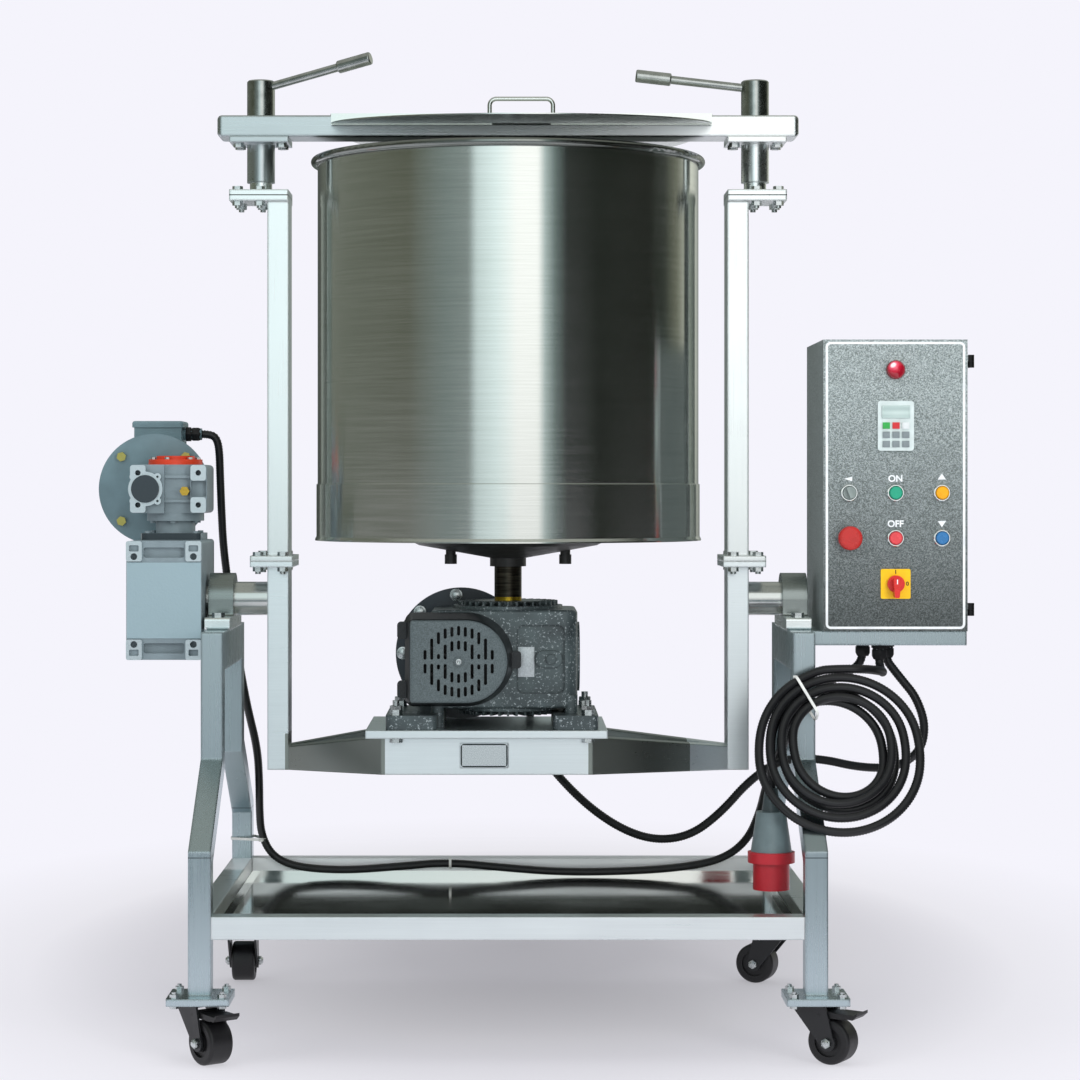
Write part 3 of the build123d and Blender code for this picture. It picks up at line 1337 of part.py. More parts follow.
with BuildPart() as tilt_primary_gearbox:
    with Locations((primary_x, tilt_worm_y, primary_mid)):
        Box(primary_width, primary_depth, primary_height)
    fillet(tilt_primary_gearbox.edges().filter_by(Axis.Y), primary_round)
    waist_left = worm_axis_x + primary_cap / 2 + cap_ring + 2.0
    waist_right = primary_x + primary_width / 2 - primary_pad_inset
    waist_x = (waist_left + waist_right) / 2
    with Locations((waist_x, primary_front + waist / 2, primary_mid)):
        Box(waist_right - waist_left, waist, primary_height, mode=Mode.SUBTRACT)
    for rib_side in (-1, 1):
        with Locations((waist_x, primary_front + waist * 0.7, primary_mid + rib_side * waist_rib_spacing / 2)):
            Box(waist_right - waist_left, waist * 0.6, waist_rib)
    with Locations((primary_x + (primary_width - primary_pad_inset) / 2, primary_front + waist / 2, primary_mid)):
        Box(primary_pad, waist, primary_height - 2 * primary_pad_inset, mode=Mode.SUBTRACT)
    with BuildSketch(Plane.XY.offset(tilt_box_head)):
        with Locations((tilt_gear_x, tilt_worm_y)):
            Circle(neck_radius)
    extrude(amount=neck_height)
    with BuildSketch(Plane.XY.offset(tilt_box_head)):
        with Locations((tilt_gear_x, tilt_worm_y - neck_base_shift)):
            RectangleRounded(*neck_base, neck_base_round)
    extrude(amount=neck_base_height)
    with BuildSketch(Plane.XY.offset(primary_bottom - neck_flange_height)):
        with Locations((tilt_gear_x, tilt_worm_y)):
            Circle(neck_flange / 2)
    extrude(amount=neck_flange_height)
    with BuildSketch(Plane.XY.offset(tilt_box_head + neck_base_height)):
        with Locations((tilt_gear_x, tilt_worm_y - neck_base_shift)):
            with GridLocations(neck_base[0] - 5 * neck_bolt, neck_base[1] - 5 * neck_bolt, 2, 2):
                RegularPolygon(neck_bolt, 6)
    extrude(amount=neck_bolt_height)
    with BuildSketch(Plane.XY.offset(primary_bottom - neck_flange_height)):
        with Locations((tilt_gear_x, tilt_worm_y)):
            with PolarLocations(neck_flange / 2 - neck_bolt_inset, neck_bolts, start_angle=30):
                RegularPolygon(neck_bolt, 6)
    extrude(amount=-neck_bolt_height)
    with BuildSketch(Plane.XZ.offset(-primary_front)):
        with Locations((worm_axis_x, primary_mid)):
            Circle(primary_cap / 2 + cap_ring)
            with PolarLocations(primary_cap / 2 + cap_ring, 4, start_angle=45):
                Circle(cap_ear)
                Circle(cap_ear_hole, mode=Mode.SUBTRACT)
    extrude(amount=primary_pad_height)
    with BuildSketch(Plane.XZ.offset(-primary_front)):
        with Locations((primary_x, primary_mid)):
            with GridLocations(primary_width - primary_pad_inset, primary_height - primary_pad_inset, 2, 2):
                RectangleRounded(primary_pad, primary_pad, primary_pad_round)
    extrude(amount=primary_pad_height)
    with BuildSketch(Plane.XZ.offset(-primary_front)):
        with Locations((worm_axis_x, primary_mid)):
            Circle(primary_cap / 2)
    extrude(amount=cap_height)
    with BuildSketch(Plane.XZ.offset(-primary_front + primary_pad_height)):
        with Locations((primary_x, primary_mid)):
            with GridLocations(primary_width - primary_pad_inset, primary_height - primary_pad_inset, 2, 2):
                Circle(primary_pad_hole)
    extrude(amount=-2.5 * primary_pad_height, mode=Mode.SUBTRACT)
    with BuildSketch(Plane.XZ.offset(-primary_front - waist)):
        with Locations((level_plug_x, level_plug_z)):
            RegularPolygon(level_plug / 2, 6)
    extrude(amount=2 * waist)
    with BuildSketch(Plane.XY.offset(primary_bottom + primary_wall)):
        with Locations((tilt_gear_x, tilt_worm_y)):
            Circle(primary_wheel / 2 + primary_wheel_clear)
    extrude(amount=primary_height - 2 * primary_wall, mode=Mode.SUBTRACT)
    with BuildSketch(Plane.XY.offset(tilt_box_head)):
        with Locations((tilt_gear_x, tilt_worm_y)):
            Circle(tilt_worm_shaft / 2 + running)
    extrude(amount=neck_height + primary_wall + shaft_end_play, mode=Mode.SUBTRACT)
pieces["tilt_primary_gearbox"] = tilt_primary_gearbox

# Round cover on top of the small gearbox
cover_flange = 9.6
cover_step = 14.0
cover_screws = 6
cover_screw = 5.0
cover_screw_height = 4.0
cover_screw_inset = 8.0
with BuildPart() as primary_cover:
    with BuildSketch(Plane.XY.offset(primary_top)):
        with Locations((tilt_gear_x, tilt_worm_y)):
            Circle(cover_diameter / 2)
    extrude(amount=cover_flange)
    with BuildSketch(Plane.XY.offset(primary_top + cover_flange)):
        with Locations((tilt_gear_x, tilt_worm_y)):
            Circle(cover_diameter / 2 - cover_step)
    extrude(amount=cover_height - cover_flange)
    with BuildSketch(Plane.XY.offset(primary_top + cover_flange)):
        with Locations((tilt_gear_x, tilt_worm_y)):
            with PolarLocations(cover_diameter / 2 - cover_screw_inset, cover_screws, start_angle=15):
                RegularPolygon(cover_screw, 6)
    extrude(amount=cover_screw_height)
pieces["primary_cover"] = primary_cover

# Upright worm of the tilting drive, with the small gearbox's wheel blank on its upper end
tilt_worm_length = 86.8
tilt_worm_lift = 6.0
tilt_worm_top = 24.0
with BuildPart() as tilt_worm:
    tilt_worm_foot = tilt_box_bottom + tilt_wall + tilt_worm_lift
    with BuildSketch(Plane.XY.offset(tilt_worm_foot)):
        with Locations((tilt_gear_x, tilt_worm_y)):
            Circle(tilt_worm_shaft / 2)
    extrude(amount=primary_mid + tilt_worm_top - tilt_worm_foot)
    with BuildSketch(Plane.XY.offset(tilt_z - tilt_worm_length / 2)):
        with Locations((tilt_gear_x, tilt_worm_y)):
            Circle(tilt_worm_diameter / 2)
    extrude(amount=tilt_worm_length)
    with BuildSketch(Plane.XY.offset(primary_mid - primary_wheel_width / 2)):
        with Locations((tilt_gear_x, tilt_worm_y)):
            Circle(primary_wheel / 2)
    extrude(amount=primary_wheel_width)
pieces["tilt_worm"] = tilt_worm

# Tilting motor: round flange with bolts, finned body, tail cover and terminal box with a gland
tilt_flange_thickness = 12.0
tilt_fins = 28
tilt_fin = 2.5
tilt_fin_length = 12.0
tilt_fin_root = 9.0
tilt_tail_round = 10.0
tilt_terminal_sink = 12.0
terminal_round = 8.0
terminal_edge = 5.0
flange_bolt_head = 9.0
flange_bolt_height = 8.0
flange_bolt_inset = 18.0
with BuildPart() as tilt_motor:
    with BuildSketch(Plane.XZ.offset(-primary_back)):
        with Locations((worm_axis_x, primary_mid)):
            Circle(tilt_motor_flange / 2)
    extrude(amount=-tilt_flange_thickness)
    motor_y = primary_back + tilt_flange_thickness
    with BuildSketch(Plane.XZ.offset(-motor_y)):
        with Locations((worm_axis_x, primary_mid)):
            Circle(tilt_motor_diameter / 2 - tilt_fin_root)
            with PolarLocations((tilt_motor_diameter - tilt_fin_length) / 2, tilt_fins):
                Rectangle(tilt_fin_length, tilt_fin)
    extrude(amount=-tilt_motor_length)
    with BuildSketch(Plane.XZ.offset(-motor_y - tilt_motor_length)):
        with Locations((worm_axis_x, primary_mid)):
            Circle(tilt_motor_diameter / 2 + tail_lip)
    extrude(amount=-tilt_motor_tail)
    fillet(tilt_motor.faces().sort_by(Axis.Y)[-1].edges(), tilt_tail_round)
    terminal_y = motor_y + tilt_motor_length * 0.45
    terminal_z = primary_mid + tilt_motor_diameter / 2 - tilt_terminal_sink
    lid_z = terminal_z + terminal_height + tilt_terminal_sink
    with Locations((worm_axis_x, terminal_y, terminal_z)):
        Box(
            terminal_width - 2 * terminal_lip,
            terminal_length - 2 * terminal_lip,
            lid_z - terminal_z,
            align=(Align.CENTER, Align.CENTER, Align.MIN),
        )
    with BuildSketch(Plane.XY.offset(lid_z)):
        with Locations((worm_axis_x, terminal_y)):
            RectangleRounded(terminal_width, terminal_length, terminal_round)
    extrude(amount=terminal_lid)
    fillet(tilt_motor.faces().sort_by(Axis.Z)[-1].edges(), terminal_edge)
    tilt_gland_z = terminal_z + terminal_height
    gland_start = worm_axis_x + terminal_width / 2 - terminal_lip
    with Locations(Plane((gland_start, terminal_y, tilt_gland_z), z_dir=(1, 0, 0))):
        Cylinder(gland / 2, gland_length + terminal_lip, align=(Align.CENTER, Align.CENTER, Align.MIN))
    with BuildSketch(Plane.XZ.offset(-primary_back)):
        with Locations((worm_axis_x, primary_mid)):
            with PolarLocations(tilt_motor_flange / 2 - flange_bolt_inset, 4, start_angle=45):
                RegularPolygon(flange_bolt_head, 6)
    extrude(amount=flange_bolt_height)
pieces["tilt_motor"] = tilt_motor

# Control box: folded shell open at the front, with glands below and hinge knuckles on its right side
panel_face = box_front + door_sheet
panel_hole = button_diameter + 2 * standoff
hinge_setback = 3.0
hinge_leaf = 16.0
hinge_lap = 4.0
hinge_pin_gap = 1.0
box_round = 4.0
hinge_x = box_right + hinge_barrel / 2 + standoff
hinge_y = -box_front + hinge_setback
hinge_spots = (box_bottom + hinge_inset, box_bottom + box_height - hinge_inset)
box_gland_length = 37.0
with BuildPart() as control_box:
    shell_y = (box_back - box_front) / 2
    with Locations((box_x, shell_y, box_bottom + box_height / 2)):
        Box(box_width, box_front + box_back, box_height)
    fillet(control_box.edges().filter_by(Axis.Z).group_by(Axis.Y)[-1], box_round)
    with Locations((box_x, shell_y - box_sheet, box_bottom + box_height / 2)):
        Box(box_width - 2 * box_sheet, box_front + box_back, box_height - 2 * box_sheet, mode=Mode.SUBTRACT)
    with BuildSketch(Plane.XY.offset(box_bottom)):
        with Locations(*gland_spots):
            Circle(gland / 2)
    extrude(amount=-box_gland_length)
    for z in hinge_spots:
        with BuildSketch(Plane.XY.offset(z)):
            with Locations((hinge_x, hinge_y)):
                Circle(hinge_barrel / 2)
            with Locations((box_right + hinge_barrel / 4, hinge_y + hinge_leaf / 2)):
                Rectangle(hinge_barrel / 2, hinge_leaf)
        extrude(amount=-hinge_length / 2)
        with BuildSketch(Plane.XY.offset(z)):
            with Locations((hinge_x, hinge_y)):
                Circle(hinge_pin / 2)
        extrude(amount=hinge_length / 2 - 2 * hinge_pin_gap)
pieces["control_box"] = control_box

# Door with its holes and hinge knuckles
panel_spots = {
    "speed_knob": (box_x - panel_column, box_bottom + upper_row),
    "on_button": (box_x, box_bottom + upper_row),
    "tilt_button": (box_x + panel_column, box_bottom + upper_row),
    "stop_button": (box_x - panel_column, box_bottom + lower_row),
    "off_button": (box_x, box_bottom + lower_row),
    "untilt_button": (box_x + panel_column, box_bottom + lower_row),
}
switch_stem = 10.0
with BuildPart() as control_box_door:
    with Locations((box_x, -box_front - door_sheet / 2, box_bottom + box_height / 2)):
        Box(box_width, door_sheet, box_height)
    for z in hinge_spots:
        with BuildSketch(Plane.XY.offset(z + standoff)):
            with Locations((hinge_x, hinge_y)):
                Circle(hinge_barrel / 2)
            with Locations(((box_right + hinge_x - hinge_lap) / 2, -box_front - door_sheet / 2)):
                Rectangle(hinge_x - box_right + hinge_lap, door_sheet)
        extrude(amount=hinge_length / 2)
        with BuildSketch(Plane.XY.offset(z + standoff)):
            with Locations((hinge_x, hinge_y)):
                Circle(hinge_pin / 2 + running)
        extrude(amount=hinge_length / 2 - hinge_pin_gap, mode=Mode.SUBTRACT)
    with BuildSketch(Plane.XZ.offset(box_front)):
        with Locations(*panel_spots.values()):
            Circle(panel_hole / 2)
        with Locations((box_x, box_bottom + switch_row)):
            Circle(switch_stem / 2 + running)
    extrude(amount=door_sheet, mode=Mode.SUBTRACT)
pieces["control_box_door"] = control_box_door

# Bezels round the buttons, the domed pilot lamp and the plate of the main switch
lamp_diameter = 33.0
lamp_rim = 3.0
lamp_rise = 8.0
lamp_taper = 18.0
bezel_chamfer = 1.2
with BuildPart() as panel_fittings:
    with BuildSketch(Plane.XZ.offset(panel_face)):
        with Locations(*panel_spots.values()):
            Circle(bezel_diameter / 2)
            Circle(panel_hole / 2, mode=Mode.SUBTRACT)
    extrude(amount=bezel_height)
    chamfer(panel_fittings.faces().filter_by(Axis.Y).group_by(Axis.Y)[0].edges(), bezel_chamfer)
    with BuildSketch(Plane.XZ.offset(panel_face)):
        with Locations((box_x, box_bottom + lamp_row)):
            Circle(lamp_diameter / 2)
    extrude(amount=bezel_height)
    with BuildSketch(Plane.XZ.offset(panel_face + bezel_height)):
        with Locations((box_x, box_bottom + lamp_row)):
            Circle(lamp_diameter / 2 - lamp_rim)
    extrude(amount=lamp_rise, taper=lamp_taper)
    with BuildSketch(Plane.XZ.offset(panel_face)):
        with Locations((box_x, box_bottom + switch_row)):
            RectangleRounded(switch_plate, switch_plate, switch_plate_sheet)
            Circle(switch_stem / 2 + running, mode=Mode.SUBTRACT)
    extrude(amount=switch_plate_sheet)
pieces["panel_fittings"] = panel_fittings

# Membrane keypad with a display window, three upper keys and six lower keys
keypad_round = 5.0
window = (49.14, 22.62)
window_rise = 24.36
window_depth = 1.5
key = (12.6, 11.31)
key_pitch = (17.01, 16.095)
key_drop = 15.66
key_round = 2.0
key_height = 1.2
with BuildPart() as keypad:
    with BuildSketch(Plane.XZ.offset(panel_face)):
        with Locations((box_x, box_bottom + keypad_row)):
            RectangleRounded(keypad_width, keypad_height, keypad_round)
    extrude(amount=keypad_thickness)
    with BuildSketch(Plane.XZ.offset(panel_face + keypad_thickness)):
        with Locations((box_x, box_bottom + keypad_row + window_rise)):
            Rectangle(*window)
    extrude(amount=-window_depth, mode=Mode.SUBTRACT)
    with BuildSketch(Plane.XZ.offset(panel_face + keypad_thickness)):
        with Locations((box_x, box_bottom + keypad_row - key_drop)):
            with GridLocations(*key_pitch, 3, 3):
                RectangleRounded(*key, key_round)
    extrude(amount=key_height)
pieces["keypad"] = keypad

# Push buttons, stop button and speed knob, each through its hole in the door
button_tail = 16.0
stop_head = 42.0
stop_rise = 13.0
stop_height = 14.0
stop_round = 6.0
knob_bar = (6.0, 19.8)
knob_turn = 20.0
knob_rise = 9.0
button_chamfer = 1.5
for name, (x, z) in panel_spots.items():
    with BuildPart() as control:
        with BuildSketch(Plane.XZ.offset(box_front - button_tail)):
            with Locations((x, z)):
                Circle(button_diameter / 2)
        extrude(amount=button_tail + door_sheet + button_height)
        if name == "stop_button":
            with BuildSketch(Plane.XZ.offset(panel_face)):
                with Locations((x, z)):
                    Circle(button_diameter / 2)
            extrude(amount=stop_rise)
            with BuildSketch(Plane.XZ.offset(panel_face + stop_rise)):
                with Locations((x, z)):
                    Circle(stop_head / 2)
            extrude(amount=stop_height)
            fillet(control.faces().sort_by(Axis.Y)[0].edges(), stop_round)
        elif name == "speed_knob":
            with BuildSketch(Plane.XZ.offset(panel_face + button_height)):
                with Locations((x, z)):
                    Rectangle(*knob_bar, rotation=knob_turn)
            extrude(amount=knob_rise)
        else:
            chamfer(control.faces().sort_by(Axis.Y)[0].edges(), button_chamfer)
    pieces[name] = control

# Main switch: a turning disc with a tapered handle on a stem through the plate and the door
switch_disc = 30.0
switch_disc_height = 7.0
handle_root = 7.0
handle_head = 10.0
handle_tip = 4.0
handle_tail = 24.0
handle_rise = 16.0
with BuildPart() as main_switch:
    switch_z = box_bottom + switch_row
    disc_y = panel_face + switch_plate_sheet + standoff
    with BuildSketch(Plane.XZ.offset(box_front - button_tail)):
        with Locations((box_x, switch_z)):
            Circle(switch_stem / 2)
    extrude(amount=disc_y - box_front + button_tail)
    with BuildSketch(Plane.XZ.offset(disc_y)):
        with Locations((box_x, switch_z)):
            Circle(switch_disc / 2)
    extrude(amount=switch_disc_height)
    with BuildSketch(Plane.XZ.offset(disc_y)):
        with BuildLine():
            Polyline(
                (box_x - handle_root, switch_z + handle_head),
                (box_x + handle_root, switch_z + handle_head),
                (box_x + handle_tip, switch_z - handle_tail),
                (box_x - handle_tip, switch_z - handle_tail),
                close=True,
            )
        make_face()
        fillet(vertices(), handle_tip * 0.7)
    extrude(amount=switch_disc_height + handle_rise)
pieces["main_switch"] = main_switch

# Drive unit and switchgear on a mounting plate against the back of the box
gear_plate = 3.0
gear_plate_margin = (25.0, 30.0)
spacer = 6.0
spacer_margin = (40.0, 45.0)
drive_case = (130.0, 130.0, 220.0)
drive_shift = 20.0
drive_rise = 90.0
contactor = (46.0, 84.0, 88.0)
contactors = 3
contactor_pitch = 58.0
contactor_drop = 130.0
with BuildPart() as drive_unit:
    plate_y = box_back - box_sheet - spacer - gear_plate / 2
    gear_z = box_bottom + box_height / 2
    with Locations((box_x, plate_y, gear_z)):
        Box(box_width - 2 * gear_plate_margin[0], gear_plate, box_height - 2 * gear_plate_margin[1])
    with BuildSketch(Plane.XZ.offset(-box_back + box_sheet)):
        with Locations((box_x, gear_z)):
            with GridLocations(box_width - 2 * spacer_margin[0], box_height - 2 * spacer_margin[1], 2, 2):
                Circle(spacer)
    extrude(amount=spacer)
    front_y = plate_y - gear_plate / 2
    with Locations((box_x - drive_shift, front_y, gear_z + drive_rise)):
        Box(*drive_case, align=(Align.CENTER, Align.MAX, Align.CENTER))
    with Locations((box_x, front_y, gear_z - contactor_drop)):
        with GridLocations(contactor_pitch, 0, contactors, 1):
            Box(*contactor, align=(Align.CENTER, Align.MAX, Align.CENTER))
pieces["drive_unit"] = drive_unit


def cord_radii(points):
    """The bend radius at each inner point: as large as 0.45 of the shorter run beside it allows."""
    radii = []
    for before, here, after in zip(points, points[1:], points[2:]):
        inward = Vector(*here) - Vector(*before)
        outward = Vector(*after) - Vector(*here)
        half_turn = radians(inward.get_angle(outward)) / 2
        radii.append(0.45 * min(inward.length, outward.length) / tan(half_turn))
    return radii


# Cable of the tilting motor: down behind the stand, along the rear rail and up into the control box
tilt_cable_points = [
    (worm_axis_x + terminal_width / 2 + gland_length, terminal_y, tilt_gland_z),
    (-558.5, terminal_y, tilt_gland_z),
    (-548.0, 243.0, tilt_gland_z - 10.0),
    (-544.0, 245.0, 1025.0),
    (-543.0, 248.0, 985.0),
    (-541.0, 252.0, 920.0),
    (-538.0, 256.0, 850.0),
    (-530.0, 260.0, 780.0),
    (-520.0, 262.0, 700.0),
    (-508.0, 268.0, 620.0),
    (-495.0, 285.0, 540.0),
    (-478.0, 310.0, 460.0),
    (-476.0, 330.0, 395.0),
    (-477.0, 345.0, 335.0),
    (-474.0, 350.0, 290.0),
    (-455.0, 350.0, 252.0),
    (-420.0, 350.0, 232.0),
    (-370.0, 350.0, 224.0),
    (-300.0, 350.0, 222.0),
    (-207.0, 350.0, 229.0),
    (-115.0, 350.0, 237.0),
    (-15.0, 350.0, 227.0),
    (100.0, 350.0, 218.0),
    (215.0, 350.0, 219.0),
    (330.0, 350.0, 226.0),
    (410.0, 346.0, 242.0),
    (458.0, 332.0, 280.0),
    (480.0, 300.0, 340.0),
    (486.0, 240.0, 396.0),
    (498.0, 165.0, 450.0),
    (520.0, 90.0, 520.0),
    (550.0, 40.0, 585.0),
    (592.0, 5.0, 615.0),
    (624.0, -7.0, 631.0),
    (gland_spots[2][0], gland_spots[2][1], 650.0),
    (gland_spots[2][0], gland_spots[2][1], box_bottom - box_gland_length),
]

# Cable of the main motor: a slack bow from under the cradle to the right, a hairpin and up into the box
main_cable_points = [
    (gland_x, main_gland_y, main_gland_top - gland_length),
    (gland_x, main_gland_y, 538.0),
    (44.0, 228.0, 482.0),
    (88.0, 182.0, 424.0),
    (150.0, 140.0, 365.0),
    (215.0, 110.0, 325.0),
    (275.0, 90.0, 310.0),
    (335.0, 74.0, 322.0),
    (388.0, 60.0, 365.0),
    (438.0, 45.0, 425.0),
    (494.0, 22.0, 466.0),
    (560.0, -10.0, 470.0),
    (628.0, -38.0, 456.0),
    (690.0, -62.0, 458.0),
    (730.0, -80.0, 487.0),
    (740.0, -84.0, 534.0),
    (724.0, -80.0, 584.0),
    (700.0, -73.0, 614.0),
    (683.0, -66.0, 636.0),
    (gland_spots[1][0], gland_spots[1][1], 650.0),
    (gland_spots[1][0], gland_spots[1][1], box_bottom - box_gland_length),
]

for name, points in (("tilt_motor_cable", tilt_cable_points), ("main_motor_cable", main_cable_points)):
    radii = cord_radii(points)
    print(name, "bend radii", [round(radius) for radius in radii])
    with BuildPart() as cable:
        with BuildLine() as route:
            FilletPolyline(*points, radius=radii)
        with BuildSketch(Plane(origin=route.line @ 0, z_dir=route.line % 0)):
            Circle(conduit / 2)
        sweep()
    section = pi * conduit**2 / 4
    print(name, "volume ratio", round(cable.part.volume / (section * route.wire().length), 4))
    pieces[name] = cable

# Coil of the supply cable: half turns that wind in on a front layer, climb to the back layer and wind out
coil_lean = 27.0
coil_x = 558.0
coil_y = -285.0
coil_z = 512.0
coil_up = Vector(0, sin(radians(coil_lean)), cos(radians(coil_lean)))
coil_plane = Plane((coil_x, coil_y, coil_z), x_dir=(1, 0, 0), z_dir=Vector(1, 0, 0).cross(coil_up))


def on_coil(x, y, layer):
    """A point of the coil: right and up in its leaning plane, on its front (1) or back (-1) layer."""
    return coil_plane.from_local_coords(Vector(x, y, layer * coil_layer / 2))


entry_radius = coil_radius + coil_pitch / 2
entry_x = coil_pitch / 2
entry_top = on_coil(entry_x, coil_straight / 2 + entry_radius, 1)
supply_points = [
    (gland_spots[0][0], gland_spots[0][1], box_bottom - box_gland_length),
    (gland_spots[0][0], gland_spots[0][1], 650.0),
    (654.0, -130.0, 636.0),
    (655.0, -152.0, 633.0),
    (649.0, -190.0, 638.0),
    (617.0, entry_top.Y, entry_top.Z),
    tuple(entry_top),
]
radii = cord_radii(supply_points)
print("supply_cable bend radii", [round(radius) for radius in radii])
with BuildPart() as supply_cable:
    with BuildLine() as route:
        FilletPolyline(*supply_points, radius=radii)
        TangentArc(entry_top, on_coil(-coil_radius, coil_straight / 2, 1), tangent=(-1, 0, 0))
    with BuildSketch(Plane(origin=supply_points[0], z_dir=(0, 0, -1))):
        Circle(conduit / 2)
    sweep()
pieces["supply_cable"] = supply_cable

plug_lead = 20.0
tail_bend = 80.0
with BuildPart() as supply_coil:
    with BuildLine() as route:
        x = -coil_radius
        radius = coil_radius
        layer = 1
        going = -1
        half_turns = coil_turns_in + 1 + coil_turns_out
        for half_turn in range(half_turns):
            start = on_coil(x, going * coil_straight / 2, layer)
            Line(on_coil(x, -going * coil_straight / 2, layer), start)
            next_x = x - going * 2 * radius
            if half_turn == coil_turns_in:
                end = on_coil(next_x, going * coil_straight / 2, -layer)
                across = end - start
                crest = (start + end) / 2 + coil_up * (going * across.length / 2)
                TangentArc(start, crest, tangent=coil_up * going)
                TangentArc(crest, end, tangent=across)
                layer = -layer
            else:
                end = on_coil(next_x, going * coil_straight / 2, layer)
                TangentArc(start, end, tangent=coil_up * going)
            x = next_x
            going = -going
            radius += coil_pitch / 2 if half_turn >= coil_turns_in else -coil_pitch / 2
        tail = on_coil(x, -coil_straight / 2, layer)
        Line(end, tail)
        bend_angle = radians(coil_lean)
        inward = (Vector(0, 0, -1) + coil_up * cos(bend_angle)) / sin(bend_angle)
        plug_top = tail - coil_up * (tail_bend * sin(bend_angle)) + inward * (tail_bend * (1 - cos(bend_angle)))
        TangentArc(tail, plug_top, tangent=coil_up * -1)
        Line(plug_top, plug_top - Vector(0, 0, plug_lead))
    with BuildSketch(Plane(origin=on_coil(-coil_radius, coil_straight / 2, 1), z_dir=coil_up * -1)):
        Circle(conduit / 2)
    sweep()
pieces["supply_coil"] = supply_coil

samples = 700
spots = [route.wire().position_at(i / samples) for i in range(samples + 1)]
skip = int(samples * 3 * conduit / route.wire().length)
least = min((a - b).length for i, a in enumerate(spots) for b in spots[i + skip:])
print("supply_coil least gap to itself", round(least - conduit, 2))

# Five-pin plug on the end of the supply cable: boot, grey grip, red collar, red shroud and pins
plug_z = plug_top.Z - plug_lead
boot_length = 40.0
grip_height = 68.0
collar_height = 18.0
shroud_height = 46.0
pin_circle = 32.0
pin = 7.0
pin_setback = 6.0
boot_wall = 3.0
grip_waist = 6.0
grip_flare = 4.0
shroud_wall = 4.0
plug_axis = (plug_top.X, plug_top.Y)
with BuildPart() as plug:
    with BuildSketch(Plane((*plug_axis, plug_z))):
        Circle(conduit / 2 + boot_wall)
    with BuildSketch(Plane((*plug_axis, plug_z - boot_length))):
        Circle(conduit)
    loft()
    with BuildSketch(Plane((*plug_axis, plug_z - boot_length))):
        Circle(plug_grip / 2 - grip_waist)
    with BuildSketch(Plane((*plug_axis, plug_z - boot_length - grip_height))):
        Circle(plug_grip / 2 + grip_flare)
    loft()
    with BuildSketch(Plane((*plug_axis, plug_z - boot_length - grip_height))):
        Circle(plug_collar / 2)
    extrude(amount=-collar_height)
    with BuildSketch(Plane((*plug_axis, plug_z - boot_length - grip_height - collar_height))):
        Circle(plug_shroud / 2)
        Circle(plug_shroud / 2 - shroud_wall, mode=Mode.SUBTRACT)
    extrude(amount=-shroud_height)
    with BuildSketch(Plane((*plug_axis, plug_z - boot_length - grip_height - collar_height))):
        with PolarLocations(pin_circle / 2, 5, start_angle=90):
            Circle(pin / 2)
    extrude(amount=-shroud_height + pin_setback)
pieces["plug"] = plug

# Everything but the cables sets the footprint, whose middle becomes the origin
cords = ("tilt_motor_cable", "main_motor_cable", "supply_cable", "supply_coil", "plug")
footprint = Compound([piece.part for name, piece in pieces.items() if name not in cords]).bounding_box()
to_origin = Location((-footprint.center().X, -footprint.center().Y, 0))
print("drum axis", round(to_origin.position.X, 4), round(to_origin.position.Y, 4))
for name, piece in pieces.items():
    placed = piece.part.moved(to_origin)
    placed.label = name
    export_step(placed, f"parts/{name}.step")
print(len(pieces), "pieces")
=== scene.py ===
import math

import bpy
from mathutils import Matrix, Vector


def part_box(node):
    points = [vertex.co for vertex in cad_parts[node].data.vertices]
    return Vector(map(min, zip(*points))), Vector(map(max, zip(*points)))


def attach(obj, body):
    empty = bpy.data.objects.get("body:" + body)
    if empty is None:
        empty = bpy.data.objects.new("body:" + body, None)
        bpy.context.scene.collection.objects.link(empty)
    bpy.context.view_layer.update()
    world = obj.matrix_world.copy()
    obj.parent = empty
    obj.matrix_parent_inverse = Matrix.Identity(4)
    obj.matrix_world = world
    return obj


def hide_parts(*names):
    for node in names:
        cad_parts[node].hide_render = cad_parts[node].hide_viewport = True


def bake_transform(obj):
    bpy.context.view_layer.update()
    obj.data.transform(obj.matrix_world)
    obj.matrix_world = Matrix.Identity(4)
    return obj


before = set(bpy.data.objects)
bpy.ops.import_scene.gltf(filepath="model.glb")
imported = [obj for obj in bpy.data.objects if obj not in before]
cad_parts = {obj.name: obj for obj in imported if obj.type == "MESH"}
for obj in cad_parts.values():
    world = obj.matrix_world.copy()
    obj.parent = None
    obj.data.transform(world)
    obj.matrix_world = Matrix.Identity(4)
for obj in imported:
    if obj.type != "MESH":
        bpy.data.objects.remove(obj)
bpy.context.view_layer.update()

# -------- Studio floor, room and light
# A pale seamless floor that fades into the white room, with a soft box to the right of the camera,
# a large fill on the left and one overhead. The room itself is seen only in the metal's gloss.
bpy.context.scene.view_settings.view_transform = "Standard"


def linear(hex_colour):
    """A linear colour from an sRGB hex value."""
    parts = [int(hex_colour[i:i + 2], 16) / 255 for i in (1, 3, 5)]
    return [p / 12.92 if p <= 0.04045 else ((p + 0.055) / 1.055) ** 2.4 for p in parts] + [1.0]


def link(node, **sources):
    """Links sources, each a socket or a node's first live output, to inputs by name, or by number after a _."""
    for key, source in sources.items():
        name = key.replace("_", " ").strip()
        if isinstance(source, bpy.types.Node):
            source = next(socket for socket in source.outputs if socket.enabled)
        node.id_data.links.new(source, node.inputs[int(name) if name.isdigit() else name])


